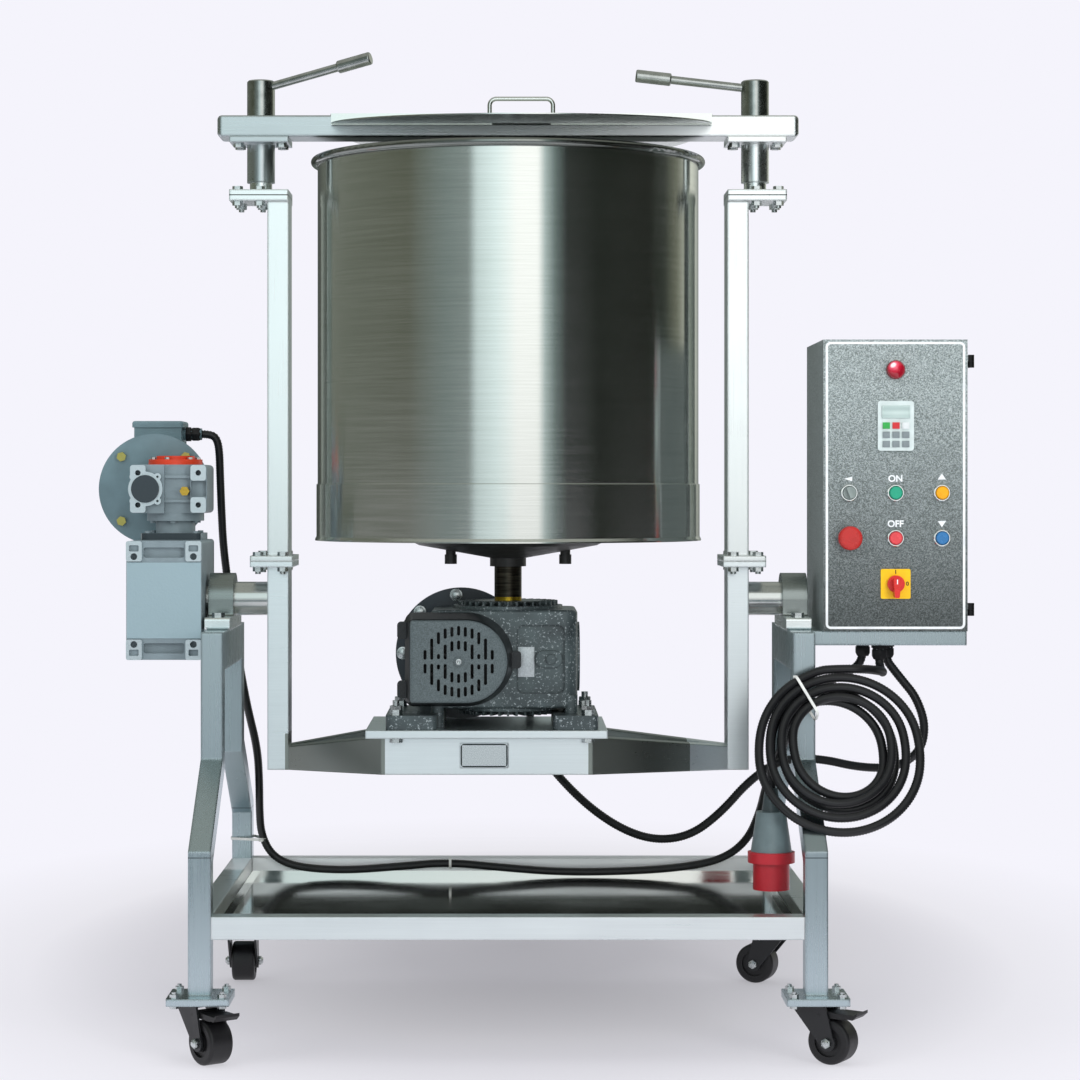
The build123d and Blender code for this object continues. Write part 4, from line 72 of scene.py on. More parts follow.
def add(tree, kind, settings=None, **sources):
    """Adds a linked node of a kind, with its operation as the kind's second word.

    Settings hold its properties, socket values, with colours in hex, or a ramp's stops or hard steps."""
    kind, _, operation = kind.partition(" ")
    node = tree.nodes.new("ShaderNode" + kind)
    if operation:
        node.operation = operation
    for key, value in (settings or {}).items():
        if key in ("stops", "steps"):
            if key == "steps":
                node.color_ramp.interpolation = "CONSTANT"
            while len(node.color_ramp.elements) < len(value):
                node.color_ramp.elements.new(1.0)
            for element, (position, tone) in zip(node.color_ramp.elements, value):
                element.position = position
                element.color = linear(tone) if isinstance(tone, str) else (tone, tone, tone, 1.0)
        elif isinstance(key, str) and hasattr(node, key):
            setattr(node, key, value)
        else:
            node.inputs[key].default_value = linear(value) if isinstance(value, str) else value
    link(node, **sources)
    return node


def cleared(owner):
    """The emptied node tree of a world or a material."""
    owner.use_nodes = True
    owner.node_tree.nodes.clear()
    return owner.node_tree


def in_view(tree):
    """One for what the camera, a gloss or a clear piece sees, and nought for what only lights a matt face."""
    path = add(tree, "LightPath").outputs
    seen = add(tree, "Math MAXIMUM", _0=path["Is Camera Ray"], _1=path["Is Glossy Ray"])
    return add(tree, "Math MAXIMUM", _0=seen, _1=path["Is Transmission Ray"])


room_white = "#F5F4FC"
world = bpy.context.scene.world or bpy.data.worlds.new("studio_room")
bpy.context.scene.world = world
tree = cleared(world)
ambient = add(tree, "Background", {"Color": "#F1F2F8", "Strength": 0.78})
backdrop = add(tree, "Background", {"Color": room_white, "Strength": 1.0})
mixed = add(tree, "MixShader", _0=in_view(tree), _1=ambient, _2=backdrop)
add(tree, "OutputWorld", Surface=mixed)

bpy.ops.mesh.primitive_circle_add(vertices=96, radius=30, fill_type="NGON", location=(0, 0, -0.0005))
floor = bpy.context.object
floor.name = "studio_floor"
paper = bpy.data.materials.new("matt_floor_paper")
tree = cleared(paper)
place = add(tree, "TexCoord").outputs["Object"]
reach = add(tree, "VectorMath LENGTH", _0=place)
fade = add(tree, "MapRange", {"interpolation_type": "SMOOTHSTEP", "From Min": 0.55, "From Max": 2.7, "To Min": 0.7},
           Value=reach)
fade = add(tree, "Math MULTIPLY", _0=fade, _1=in_view(tree))
matt = add(tree, "BsdfPrincipled", {"Base Color": "#F2F1F6", "Roughness": 0.75, "Specular IOR Level": 0.2})
# Painted shadow: the paper's glow is painted grey behind and under the machine, in an oval longer towards the camera,
# and white from about a metre and a half on, for the shade of the studio's broad light
oval = add(tree, "VectorMath MULTIPLY", {1: (1.0, 0.63, 1.0)}, _0=place)
off = add(tree, "VectorMath DISTANCE", {1: (0.0, 0.535, 0.0)}, _0=oval)
share = add(tree, "MapRange", {"From Max": 1.5}, Value=off)
painted_floor_shadow = add(tree, "ValToRGB", {"stops": [
    (0.0, "#949398"), (0.17, "#A2A1A6"), (0.28, "#B5B4B9"), (0.36, "#C0BFC4"), (0.44, "#CAC9CE"), (0.51, "#D0CFD5"),
    (0.57, "#D9D8DE"), (0.67, "#EAE9EF"), (0.8, "#F0EFF6"), (1.0, room_white),
]}, Fac=share)
glow = add(tree, "Emission", {"Strength": 1.0}, Color=painted_floor_shadow)
mixed = add(tree, "MixShader", _0=fade, _1=matt, _2=glow)
add(tree, "OutputMaterial", Surface=mixed)
floor.data.materials.append(paper)


def only_in_gloss(prop, strength, tone=None, bands=None):
    """Makes a stage piece that only the metal's gloss sees, of one tone or of tones by the angle round the room."""
    paint = bpy.data.materials.new(prop.name + "_tone")
    tree = cleared(paint)
    glow = add(tree, "Emission", {"Strength": strength})
    if tone:
        glow.inputs["Color"].default_value = linear(tone)
    else:
        parts = add(tree, "SeparateXYZ", Vector=add(tree, "TexCoord").outputs["Object"]).outputs
        front = add(tree, "Math MULTIPLY", {1: -1.0}, _0=parts["Y"])
        turn = add(tree, "Math ARCTAN2", _0=parts["X"], _1=front)
        share = add(tree, "MapRange", {"From Min": -math.pi, "From Max": math.pi}, Value=turn)
        ramp = add(tree, "ValToRGB", {"stops": [((a + 180) / 360, shade) for a, shade in bands]}, Fac=share)
        dusk = add(tree, "MapRange", {"From Min": -1.95, "From Max": -0.6, "To Min": 0.4 * strength,
                                      "To Max": strength}, Value=parts["Z"])
        link(glow, Color=ramp, Strength=dusk)
    add(tree, "OutputMaterial", Surface=glow)
    prop.data.materials.append(paint)
    for seen_by in ("camera", "diffuse", "transmission", "shadow", "volume_scatter"):
        setattr(prop, "visible_" + seen_by, False)


# The dim room: a tall window in front, grey curtains left of it, a dark wall right of it, dimmer near the floor.
# The angle is zero behind the camera and positive to its right.
bpy.ops.mesh.primitive_cylinder_add(vertices=180, radius=7.0, depth=9.0, end_fill_type="NOTHING", location=(0, 0, 2.0))
walls = bpy.context.object
walls.name = "studio_walls"
only_in_gloss(walls, 1.5, bands=[
    (-180, "#757D7B"), (-162, "#3A3E3B"), (-128, "#676B63"), (-60, "#4D5043"), (-36, "#6C7775"), (-23, "#7A8483"),
    (-18, "#C6D4D6"), (-7, "#E0EEF0"), (0, "#F2F9FA"), (5, "#FFFFFF"), (17, "#FFFFFF"), (21, "#A8B6B6"),
    (27, "#5E6B6A"), (34, "#1E221F"), (92, "#1B1D19"), (106, "#30342F"), (120, "#65675B"), (142, "#BFC1B7"),
    (164, "#7A7E7A"), (180, "#757D7B"),
])
for name, width, depth, place, lean, tone in (
    ("studio_carpet", 6.0, 2.5, (0, -3.2, 0.001), 0.0, "#6F7C80"),
    ("studio_dark_carpet", 4.4, 4.6, (3.4, -1.7, 0.002), 0.0, "#2B2D29"),
    ("studio_ceiling", 15.0, 15.0, (0, 0, 6.4), 0.0, "#9C9E98"),
    ("studio_dark_card", 1.7, 0.15, (0, 1.15, 0.425), math.pi / 2, "#1B1D1B"),
):
    bpy.ops.mesh.primitive_plane_add(size=1.0, location=place, rotation=(lean, 0, 0))
    sheet = bpy.context.object
    sheet.name = name
    sheet.scale = (width, depth, 1.0)
    only_in_gloss(sheet, 1.3, tone=tone)

for name, size, place, aim, watts in (
    ("soft_box_right", (1.6, 3.0), (2.6, -4.2, 1.9), (0, 0, 0.9), 105),
    ("fill_left", (2.4, 2.4), (-4.2, -3.4, 2.6), (0, 0, 0.9), 52),
    ("overhead", (3.0, 3.0), (0.2, -0.4, 4.4), (0, 0, 0), 48),
):
    lamp = bpy.data.lights.new(name, "AREA")
    lamp.shape = "RECTANGLE"
    lamp.size, lamp.size_y = size
    lamp.energy = watts
    lit = bpy.data.objects.new(name, lamp)
    lit.location = place
    lit.rotation_euler = (Vector(aim) - Vector(place)).to_track_quat("-Z", "Y").to_euler()
    lit.visible_glossy = False
    bpy.context.scene.collection.objects.link(lit)

# The camera stands square in front of the drum axis, level, a little above the middle of the machine.
drum_x, drum_y = -0.0294, 0.0026766
camera = bpy.data.cameras.new("camera")
camera.lens = 96.3
camera.sensor_width = 36.0
camera.shift_x = 0.0296
camera.shift_y = -0.0463
camera.clip_end = 100
eye = bpy.data.objects.new("camera", camera)
eye.location = (drum_x, drum_y - 5.2, 0.952)
eye.rotation_euler = (math.pi / 2, 0, 0)
bpy.context.scene.collection.objects.link(eye)
bpy.context.scene.camera = eye

# -------- Side frames, rails and shelf of the stand
# Square stainless tube, mitred and welded into two splayed side frames, joined by rails, with a folded
# sheet as the shelf. The tube is satin ground along its length, and its welds are ground flush.
def finish(name, settings):
    """A material with one shader, and its object coordinates in metres."""
    material = bpy.data.materials.new(name)
    tree = cleared(material)
    shader = add(tree, "BsdfPrincipled", settings)
    add(tree, "OutputMaterial", Surface=shader)
    return material, tree, shader, add(tree, "TexCoord").outputs["Object"]


def dress(material, *nodes):
    """Gives CAD nodes a finish."""
    for node in nodes:
        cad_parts[node].data.materials.clear()
        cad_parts[node].data.materials.append(material)


noise_span = {"From Min": 0.3, "From Max": 0.7}  # where most of a noise lies
darken = {"data_type": "RGBA", "blend_type": "MULTIPLY", "Factor": 1.0}


def satin_steel(name, tone, roughness, grain, edge=0.0):
    """Ground stainless: lines 0.6 mm apart, drawn at 2.5 mm so that they show, faint patches and softened edges.

    The lines blur what the steel reflects across the grain, which gives long soft streaks along it."""
    line_gap, line_length, patch = 2.5, 180.0, 160.0
    material, tree, shader, place = finish(name, {"Metallic": 1.0, "Anisotropic": 0.55})
    scale = [1000 / (line_length if axis == grain else line_gap) for axis in "xyz"]
    stretched = add(tree, "Mapping", {"Scale": scale}, Vector=place)
    strokes = add(tree, "TexNoise", {"Scale": 1.0, "Detail": 2.0}, Vector=stretched)
    clouds = add(tree, "TexNoise", {"Scale": 1000 / patch, "Detail": 4.0}, Vector=place)
    both = add(tree, "Mix", {"Factor": 0.5}, A=clouds, B=strokes)
    rough = add(tree, "MapRange", {**noise_span, "To Min": roughness - 0.04, "To Max": roughness + 0.05}, Value=both)
    shade = add(tree, "MapRange", {**noise_span, "To Min": 0.93, "To Max": 1.0}, Value=both)
    colour = add(tree, "Mix", {**darken, 6: tone}, _7=shade)
    bump = add(tree, "Bump", {"Strength": 0.1, "Distance": 0.0003}, Height=strokes)
    if edge:
        link(bump, Normal=add(tree, "Bevel", {"samples": 4, "Radius": edge}))
    line = [float(axis == grain) for axis in "xyz"]
    across = add(tree, "VectorMath CROSS_PRODUCT", {1: line}, _0=add(tree, "NewGeometry").outputs["Normal"])
    across = add(tree, "VectorMath ADD", {1: (0.003, 0.002, 0.001)}, _0=across)
    link(shader, Base_Color=colour, Roughness=rough, Normal=bump, Tangent=across)
    return material


def along(tree, place, axis, sum_or_test, *values):
    """A sum or a test of a place's X, Y or Z in metres. A test gives one where it holds, and nought elsewhere."""
    part = add(tree, "SeparateXYZ", Vector=place).outputs[axis]
    return add(tree, "Math " + sum_or_test, dict(enumerate(values, 1)), _0=part)


def second_tone(material, tone, *test):
    """Adds a second tone to a finish, where a test along an axis holds, or by a mask that is linked to the mix."""
    tree = material.node_tree
    shader = next(node for node in tree.nodes if node.type == "BSDF_PRINCIPLED")
    first = shader.inputs["Base Color"].links[0].from_socket
    place = add(tree, "TexCoord").outputs["Object"]
    mix = add(tree, "Mix", {"data_type": "RGBA", 7: tone}, _6=first)
    if test:
        link(mix, _0=along(tree, place, *test))
    link(shader, Base_Color=mix)
    return tree, shader, place, mix


leg_steel = satin_steel("satin_ground_stainless_leg_tube", "#BECDD2", 0.28, "z", 0.005)
# A ground weld shows as a thin darker line at each ankle
second_tone(leg_steel, "#7F8B90", "Z", "COMPARE", 0.341, 0.0011)
dress(leg_steel, "left_side_frame", "right_side_frame")
rail_steel = satin_steel("satin_ground_stainless_rail_tube", "#EFF5F6", 0.3, "x", 0.004)
# Painted light: the rear rail is painted paler and duller than the front one, as the light falls on it
tree, shader, place, mix = second_tone(rail_steel, "#E9EDED")
rear = along(tree, place, "Y", "GREATER_THAN", 0.2)
link(mix, _0=rear)
link(shader, Metallic=add(tree, "MapRange", {"To Min": 1.0, "To Max": 0.35}, Value=rear))
dress(rail_steel, "base_rails")
# The shelf's sheet is left bright from the mill, so that it mirrors the rear rail and the dark card behind it
dress(satin_steel("bright_rolled_stainless_shelf", "#DADCD9", 0.07, "x"), "bottom_shelf")

# -------- Bolts of the stand and bearing blocks
# Zinc-plated hexagon bolts and nuts that hold the casters and the two blocks, which are sawn from solid
# stainless bar, drilled, and ground on their faces.
def mottled(name, metallic, patch, detail, tones, gloss):
    """A metal with patches of a size in millimetres, between two tones and from glossy to duller."""
    material, tree, shader, place = finish(name, {"Metallic": metallic})
    patches = add(tree, "TexNoise", {"Scale": 1000 / patch, "Detail": detail}, Vector=place)
    tint = add(tree, "ValToRGB", {"stops": [(0.3, tones[0]), (0.7, tones[1])]}, Fac=patches)
    rough = add(tree, "MapRange", {"To Min": gloss[0], "To Max": gloss[1]}, Value=patches)
    link(shader, Base_Color=tint, Roughness=rough)
    return material


# Plating is bright, with a faint mottle and duller patches from handling
zinc = mottled("bright_zinc_plate", 1.0, 6.0, 3.0, ("#B4BABA", "#DFE4E4"), (0.18, 0.38))
dress(zinc, "stand_bolts", "yoke_bolts", "crossbar_bolts")
block_steel = satin_steel("ground_stainless_block", "#8F9795", 0.26, "x", 0.002)
# Painted highlight: the feet are given a brighter tone than the bodies above them, for the bright light their faces
# reflect
second_tone(block_steel, "#EEF4F4", "Z", "LESS_THAN", 0.7275)
dress(block_steel, "bearing_blocks")

# -------- Swivel casters
# Pressed forks in black powder coat with a kingpin, moulded black nylon wheels and brake pedals, and a
# zinc-plated dome nut on each end of the axle.
def moulded(name, tone, roughness, grit=0.8, lift=0.06):
    """Moulded plastic or powder coat: a fine even grit in the gloss and slightly uneven colour."""
    material, tree, shader, place = finish(name, {})
    fine = add(tree, "TexNoise", {"Scale": 1000 / grit, "Detail": 1.0}, Vector=place)
    broad = add(tree, "TexNoise", {"Scale": 1000 / 25.0, "Detail": 3.0}, Vector=place)
    shade = add(tree, "MapRange", {**noise_span, "To Min": 0.86, "To Max": 1.08}, Value=broad)
    colour = add(tree, "Mix", {**darken, 6: tone}, _7=shade)
    rough = add(tree, "MapRange", {**noise_span, "To Min": roughness - 0.06, "To Max": roughness + 0.06}, Value=broad)
    bump = add(tree, "Bump", {"Strength": lift * 4, "Distance": 0.0002}, Height=fine)
    link(shader, Base_Color=colour, Roughness=rough, Normal=bump)
    return material


upward, forward = Vector((0, 0, 1)), Vector((0, -1, 0))


def stud(sides, radius, height, foot=0.0):
    """Starts the piece in hand as a prism or cylinder that stands upright on its foot."""
    bpy.ops.mesh.primitive_cylinder_add(vertices=sides, radius=radius, depth=height,
                                        location=(0, 0, foot + height / 2))
    bpy.ops.object.transform_apply(location=True)
    return bpy.context.object


def pick(kind, test):
    """Selects the faces or edges of the piece in hand by their middle and their normal or run, in edit mode."""
    bpy.ops.object.mode_set(mode="EDIT")
    bpy.ops.mesh.select_mode(type=kind)
    bpy.ops.mesh.select_all(action="DESELECT")
    bpy.ops.object.mode_set(mode="OBJECT")
    mesh = bpy.context.object.data
    if kind == "FACE":
        for face in mesh.polygons:
            face.select = test(face.center, face.normal)
    else:
        for edge in mesh.edges:
            start, end = [mesh.vertices[i].co for i in edge.vertices]
            edge.select = test((start + end) / 2, (end - start).normalized())
    bpy.ops.object.mode_set(mode="EDIT")


def raised(facing, rim, lift):
    """Insets the side of the piece in hand that faces a way, by a rim, and lifts what is inside it, or sinks it."""
    pick("FACE", lambda middle, normal: normal.dot(facing) > 0.9)
    bpy.ops.mesh.inset(thickness=rim)
    bpy.ops.mesh.extrude_region_move(TRANSFORM_OT_translate={"value": facing * lift})


def soften(width, segments=2):
    """Rounds the sharp edges of the piece in hand and shades it smooth between them."""
    bpy.ops.object.mode_set(mode="OBJECT")
    bpy.ops.object.modifier_add(type="BEVEL")
    rounding = bpy.context.object.modifiers[-1]
    rounding.width = width
    rounding.segments = segments
    rounding.limit_method = "ANGLE"
    bpy.ops.object.modifier_apply(modifier=rounding.name)
    bpy.ops.object.shade_smooth_by_angle(angle=math.radians(40))


def seat(name, body, material):
    """Names the piece in hand, gives it its finish, puts its place in its mesh and fixes it to a body."""
    piece = bpy.context.object
    piece.name = piece.data.name = name
    piece.data.materials.clear()
    piece.data.materials.append(material)
    bpy.ops.object.transform_apply(location=True, rotation=True, scale=True)
    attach(piece, body)
    return piece


def copies(model, spots):
    """Copies a modelled piece to each spot and turn, each with its own mesh, joined as the one piece in hand."""
    made = []
    for where, turn in spots:
        bpy.ops.object.select_all(action="DESELECT")
        model.select_set(True)
        bpy.context.view_layer.objects.active = model
        bpy.ops.object.duplicate(linked=False)
        copy = bpy.context.object
        copy.location = where
        copy.rotation_euler = turn
        bpy.ops.object.transform_apply(location=True, rotation=True, scale=True)
        made.append(copy)
    bpy.ops.object.select_all(action="DESELECT")
    for copy in made:
        copy.select_set(True)
    bpy.context.view_layer.objects.active = made[0]
    if len(made) > 1:
        bpy.ops.object.join()


def at(x, y, z):
    """A place in millimetres from the drum axis and the floor, in metres in the frame."""
    return Vector((x / 1000 + drum_x, y / 1000 + drum_y, z / 1000))


black_coat = moulded("black_powder_coated_steel", "#1B1C1E", 0.36, 1.2, 0.1)
black_nylon = moulded("moulded_black_nylon", "#151517", 0.46)
for corner in ("front_left", "front_right", "rear_left", "rear_right"):
    dress(black_coat, corner + "_fork")
    dress(black_nylon, corner + "_wheel")
dress(black_nylon, "front_left_brake", "front_right_brake")

nut = stud(sides=6, radius=0.0088, height=0.0056)
raised(upward, rim=0.0014, lift=0.0034)
bpy.ops.transform.resize(value=(0.7, 0.7, 1.0))
soften(0.0007)
axle_trail, axle_height, nut_seat = 32.0, 37.5, 27.6
for corner, x, y, heading in (("front_left", -512.5, -385, -52), ("front_right", 512.5, -385, -30),
                              ("rear_left", -512.5, 385, 90), ("rear_right", 512.5, 385, 158)):
    ahead = math.radians(heading)
    axle = Vector((x + axle_trail * math.cos(ahead), y + axle_trail * math.sin(ahead), axle_height))
    spots = []
    for side in (-1, 1):
        across = Vector((-math.sin(ahead), math.cos(ahead), 0)) * side
        spots.append((at(*(axle + across * nut_seat)), across.to_track_quat("Z", "Y").to_euler()))
    copies(nut, spots)
    seat(corner + "_axle_nuts", corner + "_fork", zinc)
bpy.data.objects.remove(nut)

# -------- Tilting drive
# Die-cast gearboxes and motor under blue-grey enamel, with bare machined pads, a plain aluminium plate,
# a red-orange bearing cover, a brass level plug and yellow-passivated flange bolts.
enamel, lug_face, bare_plate = "#819196", "#CDD7DB", "#A8BEC5"


def enamelled(name, tone):
    """Enamel on a casting: glossy with a soft orange peel about 4 mm across and dust in the hollows."""
    material, tree, shader, place = finish(name, {"Roughness": 0.36})
    peel = add(tree, "TexNoise", {"Scale": 1000 / 4.0, "Detail": 2.0}, Vector=place)
    dust = add(tree, "TexNoise", {"Scale": 1000 / 45.0, "Detail": 4.0}, Vector=place)
    shade = add(tree, "MapRange", {**noise_span, "To Min": 0.82, "To Max": 1.06}, Value=dust)
    colour = add(tree, "Mix", {**darken, 6: tone}, _7=shade)
    bump = add(tree, "Bump", {"Strength": 0.25, "Distance": 0.0006}, Height=peel)
    link(shader, Normal=bump)
    return material, tree, shader, place, colour.outputs[2]


def zoned(tree, shader, paint, zone, bands):
    """Where a casting is left bare or another piece is fixed, the paint gives way by zone, from 0 to 1.

    A band has its start, its tone, how metallic it is, or None where the paint stays, and its roughness."""
    starts, tones, metals, gloss = zip(*bands)
    steps = (tones, [float(m is None) for m in metals], [m or 0.0 for m in metals], gloss)
    bare, painted, shine, rough = [add(tree, "ValToRGB", {"steps": list(zip(starts, s))}, Fac=zone) for s in steps]
    mixed = add(tree, "Mix", {"data_type": "RGBA"}, _0=painted, _6=bare, _7=paint)
    link(shader, Base_Color=mixed, Metallic=shine, Roughness=rough)


big_case, tree, shader, place, paint = enamelled("blue_grey_enamel_on_cast_gearbox", enamel)
parts = add(tree, "SeparateXYZ", Vector=place).outputs
zone = add(tree, "MapRange", {"From Min": -0.1048, "From Max": -0.0948}, Value=parts["Y"])
zoned(tree, shader, paint, zone, [(0.0, lug_face, 0.85, 0.3), (0.4, bare_plate, 0.6, 0.34),
                                  (0.68, enamel, None, 0.36)])
dress(big_case, "tilt_gearbox")

small_case, tree, shader, place, paint = enamelled("blue_grey_enamel_on_small_gearbox", enamel)
parts = add(tree, "SeparateXYZ", Vector=place).outputs
zone = add(tree, "MapRange", {"From Min": 0.004, "From Max": 0.024, "To Max": 0.8}, Value=parts["Y"])
level = add(tree, "VectorMath MULTIPLY", {1: (1, 0, 1)}, _0=place)
off = add(tree, "VectorMath DISTANCE", {1: (-0.6129, 0, 0.950)}, _0=level)
near_plug = add(tree, "Math LESS_THAN", {1: 0.0098}, _0=off)
lifted = add(tree, "Math LESS_THAN", {1: 0.0222}, _0=parts["Y"])
brass_plug = add(tree, "Math MULTIPLY", _0=near_plug, _1=lifted)
zone = add(tree, "Math MAXIMUM", _0=zone, _1=brass_plug)
zoned(tree, shader, paint, zone, [(0.0, "#2E393E", 0.0, 0.42), (0.4, lug_face, 0.85, 0.3), (0.47, enamel, None, 0.36),
                                  (0.9, "#C9A545", 0.9, 0.25)])
dress(small_case, "tilt_primary_gearbox")

motor_case, tree, shader, place, paint = enamelled("blue_grey_enamel_on_motor", "#6B858B")
zone = along(tree, place, "Y", "GREATER_THAN", 0.1422)
zoned(tree, shader, paint, zone, [(0.0, "#B5AC62", 0.9, 0.3), (0.5, enamel, None, 0.38)])
dress(motor_case, "tilt_motor")

cover_tone = "#D8401F"
cover_red, tree, shader, place, paint = enamelled("red_orange_enamel_cover", cover_tone)
flat = add(tree, "VectorMath MULTIPLY", {1: (1, 1, 0)}, _0=place)
off = add(tree, "VectorMath DISTANCE", {1: (-0.6369, 0.08268, 0)}, _0=flat)
outer = add(tree, "Math GREATER_THAN", {1: 0.036}, _0=off)
above = along(tree, place, "Z", "GREATER_THAN", 1.0078)
zone = add(tree, "Math MULTIPLY", _0=outer, _1=above)
zoned(tree, shader, paint, zone, [(0.0, cover_tone, None, 0.34), (0.5, "#C9CFCF", 0.9, 0.28)])
dress(cover_red, "primary_cover")
dress(zinc, "tilt_worm")

# -------- Tilting yoke
# A welded cradle of ground stainless tube and plate, with flanged uprights bolted on it, a small bare
# badge plate on its front, and turned stub shafts in the bearing blocks.
cradle_steel = satin_steel("satin_ground_stainless_cradle", "#EDF5F7", 0.3, "x", 0.004)
# Painted shade: the sloping wing plates at each end are painted darker than the beams, as less light falls on them
tree, _, place, mix = second_tone(cradle_steel, "#8F9590")
off = add(tree, "Math ABSOLUTE", _0=along(tree, place, "X", "SUBTRACT", -0.0669))
painted_shade_wings = add(tree, "Math COMPARE", {1: 0.26975, 2: 0.09125}, _0=off)
low = along(tree, place, "Z", "LESS_THAN", 0.517)
link(mix, _0=add(tree, "Math MULTIPLY", _0=painted_shade_wings, _1=low))
dress(cradle_steel, "cradle")
yoke_steel = satin_steel("satin_ground_stainless_yoke_tube", "#F0F5F5", 0.24, "z", 0.005)
# The plates of the upright and of the clamp post meet in a dark seam
second_tone(yoke_steel, "#2B2E2D", "Z", "COMPARE", 1.478, 0.0009)
dress(yoke_steel, "uprights")
dress(satin_steel("turned_stainless_shaft", "#CBCFCC", 0.22, "y"), "trunnions")


def rounded_sheet(place, width, height, corner, segments):
    """Starts the piece in hand as an upright sheet with rounded corners, all of it selected in edit mode."""
    bpy.ops.mesh.primitive_plane_add(size=1.0, location=place, rotation=(math.pi / 2, 0, 0))
    bpy.context.object.scale = (width, height, 1.0)
    bpy.ops.object.transform_apply(location=True, rotation=True, scale=True)
    bpy.ops.object.mode_set(mode="EDIT")
    bpy.ops.mesh.select_mode(type="FACE")
    bpy.ops.mesh.select_all(action="SELECT")
    bpy.ops.mesh.bevel(offset=corner, segments=segments, affect="VERTICES")
    bpy.ops.mesh.select_all(action="SELECT")


badge_middle = at(-42, -130.1, 486)
rounded_sheet(badge_middle, width=0.082, height=0.041, corner=0.006, segments=5)
bpy.ops.mesh.extrude_region_move(TRANSFORM_OT_translate={"value": forward * 0.0004})
bpy.ops.object.mode_set(mode="OBJECT")
raised(forward, rim=0.0016, lift=-0.0003)
bpy.ops.object.mode_set(mode="OBJECT")
badge_steel, tree, shader, place = finish("etched_badge_plate", {"Metallic": 1.0})
# An etched plate: a bright field with fine grain and a black-filled line round its edge
grain = add(tree, "TexNoise", {"Scale": 1000 / 1.5, "Detail": 2.0}, Vector=place)
corner = add(tree, "VectorMath SUBTRACT", {1: tuple(badge_middle)}, _0=place)
corner = add(tree, "VectorMath ABSOLUTE", _0=corner)
parts = add(tree, "SeparateXYZ", Vector=corner).outputs
wide = add(tree, "Math SUBTRACT", {1: 0.0205}, _0=parts["X"])
edge = add(tree, "Math MAXIMUM", _0=wide, _1=parts["Z"])
ring = add(tree, "Math GREATER_THAN", {1: 0.0182}, _0=edge)
tint = add(tree, "ValToRGB", {"stops": [(0.35, "#C3CBCD"), (0.65, "#E6ECED")]}, Fac=grain)
colour = add(tree, "Mix", {"data_type": "RGBA", 7: "#33383A"}, _0=ring, _6=tint)
rough = add(tree, "MapRange", {"To Min": 0.24, "To Max": 0.4}, Value=grain)
link(shader, Base_Color=colour, Roughness=rough)
seat("badge_face", "yoke", badge_steel)

# -------- Main drive
# A cast-iron worm gearbox and motor in dark hammered enamel, a moulded fan cowl with slots, zinc bolts with
# washers round the motor flange, and a small plain rating plate on the gearbox front.
hammered, tree, shader, place = finish("dark_enamel_on_sand_cast_iron", {"Metallic": 0.3, "Coat Weight": 0.25,
                                                                         "Coat Roughness": 0.2})
# Enamel over sand-cast iron: a pebbled skin about 5 mm across, and fine flake painted pale on its crests as painted
# glints
pebble = add(tree, "TexNoise", {"Scale": 1000 / 5.0, "Detail": 3.0}, Vector=place)
flake = add(tree, "TexVoronoi", {"Scale": 1000 / 2.2}, Vector=place)
cells = add(tree, "SeparateColor", Color=flake.outputs["Color"])
dirt = add(tree, "TexNoise", {"Scale": 1000 / 55.0, "Detail": 3.0}, Vector=place)
base = add(tree, "ValToRGB", {"stops": [(0.3, "#3A4345"), (0.7, "#536061")]}, Fac=dirt)
crest = add(tree, "Math MULTIPLY", _0=cells, _1=pebble)
painted_glints = add(tree, "MapRange", {"From Min": 0.43, "From Max": 0.57}, Value=crest)
colour = add(tree, "Mix", {"data_type": "RGBA", 7: "#9AA5A7"}, _0=painted_glints, _6=base)
rough = add(tree, "MapRange", {**noise_span, "To Min": 0.26, "To Max": 0.42}, Value=dirt)
bump = add(tree, "Bump", {"Strength": 0.3, "Distance": 0.0008}, Height=pebble)
link(bump, Normal=add(tree, "Bevel", {"samples": 4, "Radius": 0.004}))
link(shader, Base_Color=colour, Roughness=rough, Normal=bump)
dress(hammered, "main_gearbox")
motor_enamel, tree, shader, place, paint = enamelled("dark_blue_grey_enamel_on_motor", "#333E45")
link(shader, Base_Color=paint)
dress(motor_enamel, "main_motor")
dress(black_nylon, "main_worm")

cowl, tree, shader, place = finish("moulded_fan_cowl", {"Roughness": 0.4})
# Painted light and shade: the cowl's face is painted paler, with a fine chalky grain, and its drawn sides near black
parts = add(tree, "SeparateXYZ", Vector=place).outputs
face = add(tree, "MapRange", {"From Min": -0.1672, "From Max": -0.1662}, Value=parts["Y"])
chalk = add(tree, "TexNoise", {"Scale": 1000 / 2.0, "Detail": 3.0}, Vector=place)
pale = add(tree, "ValToRGB", {"stops": [(0.3, "#414C4D"), (0.7, "#5E6A6C")]}, Fac=chalk)
dark = add(tree, "ValToRGB", {"stops": [(0.3, "#15181A"), (0.7, "#24292B")]}, Fac=chalk)
colour = add(tree, "Mix", {"data_type": "RGBA"}, _0=face, _6=pale, _7=dark)
bump = add(tree, "Bump", {"Strength": 0.15, "Distance": 0.0002}, Height=chalk)
link(shader, Base_Color=colour, Normal=bump)
dress(cowl, "fan_cowl")

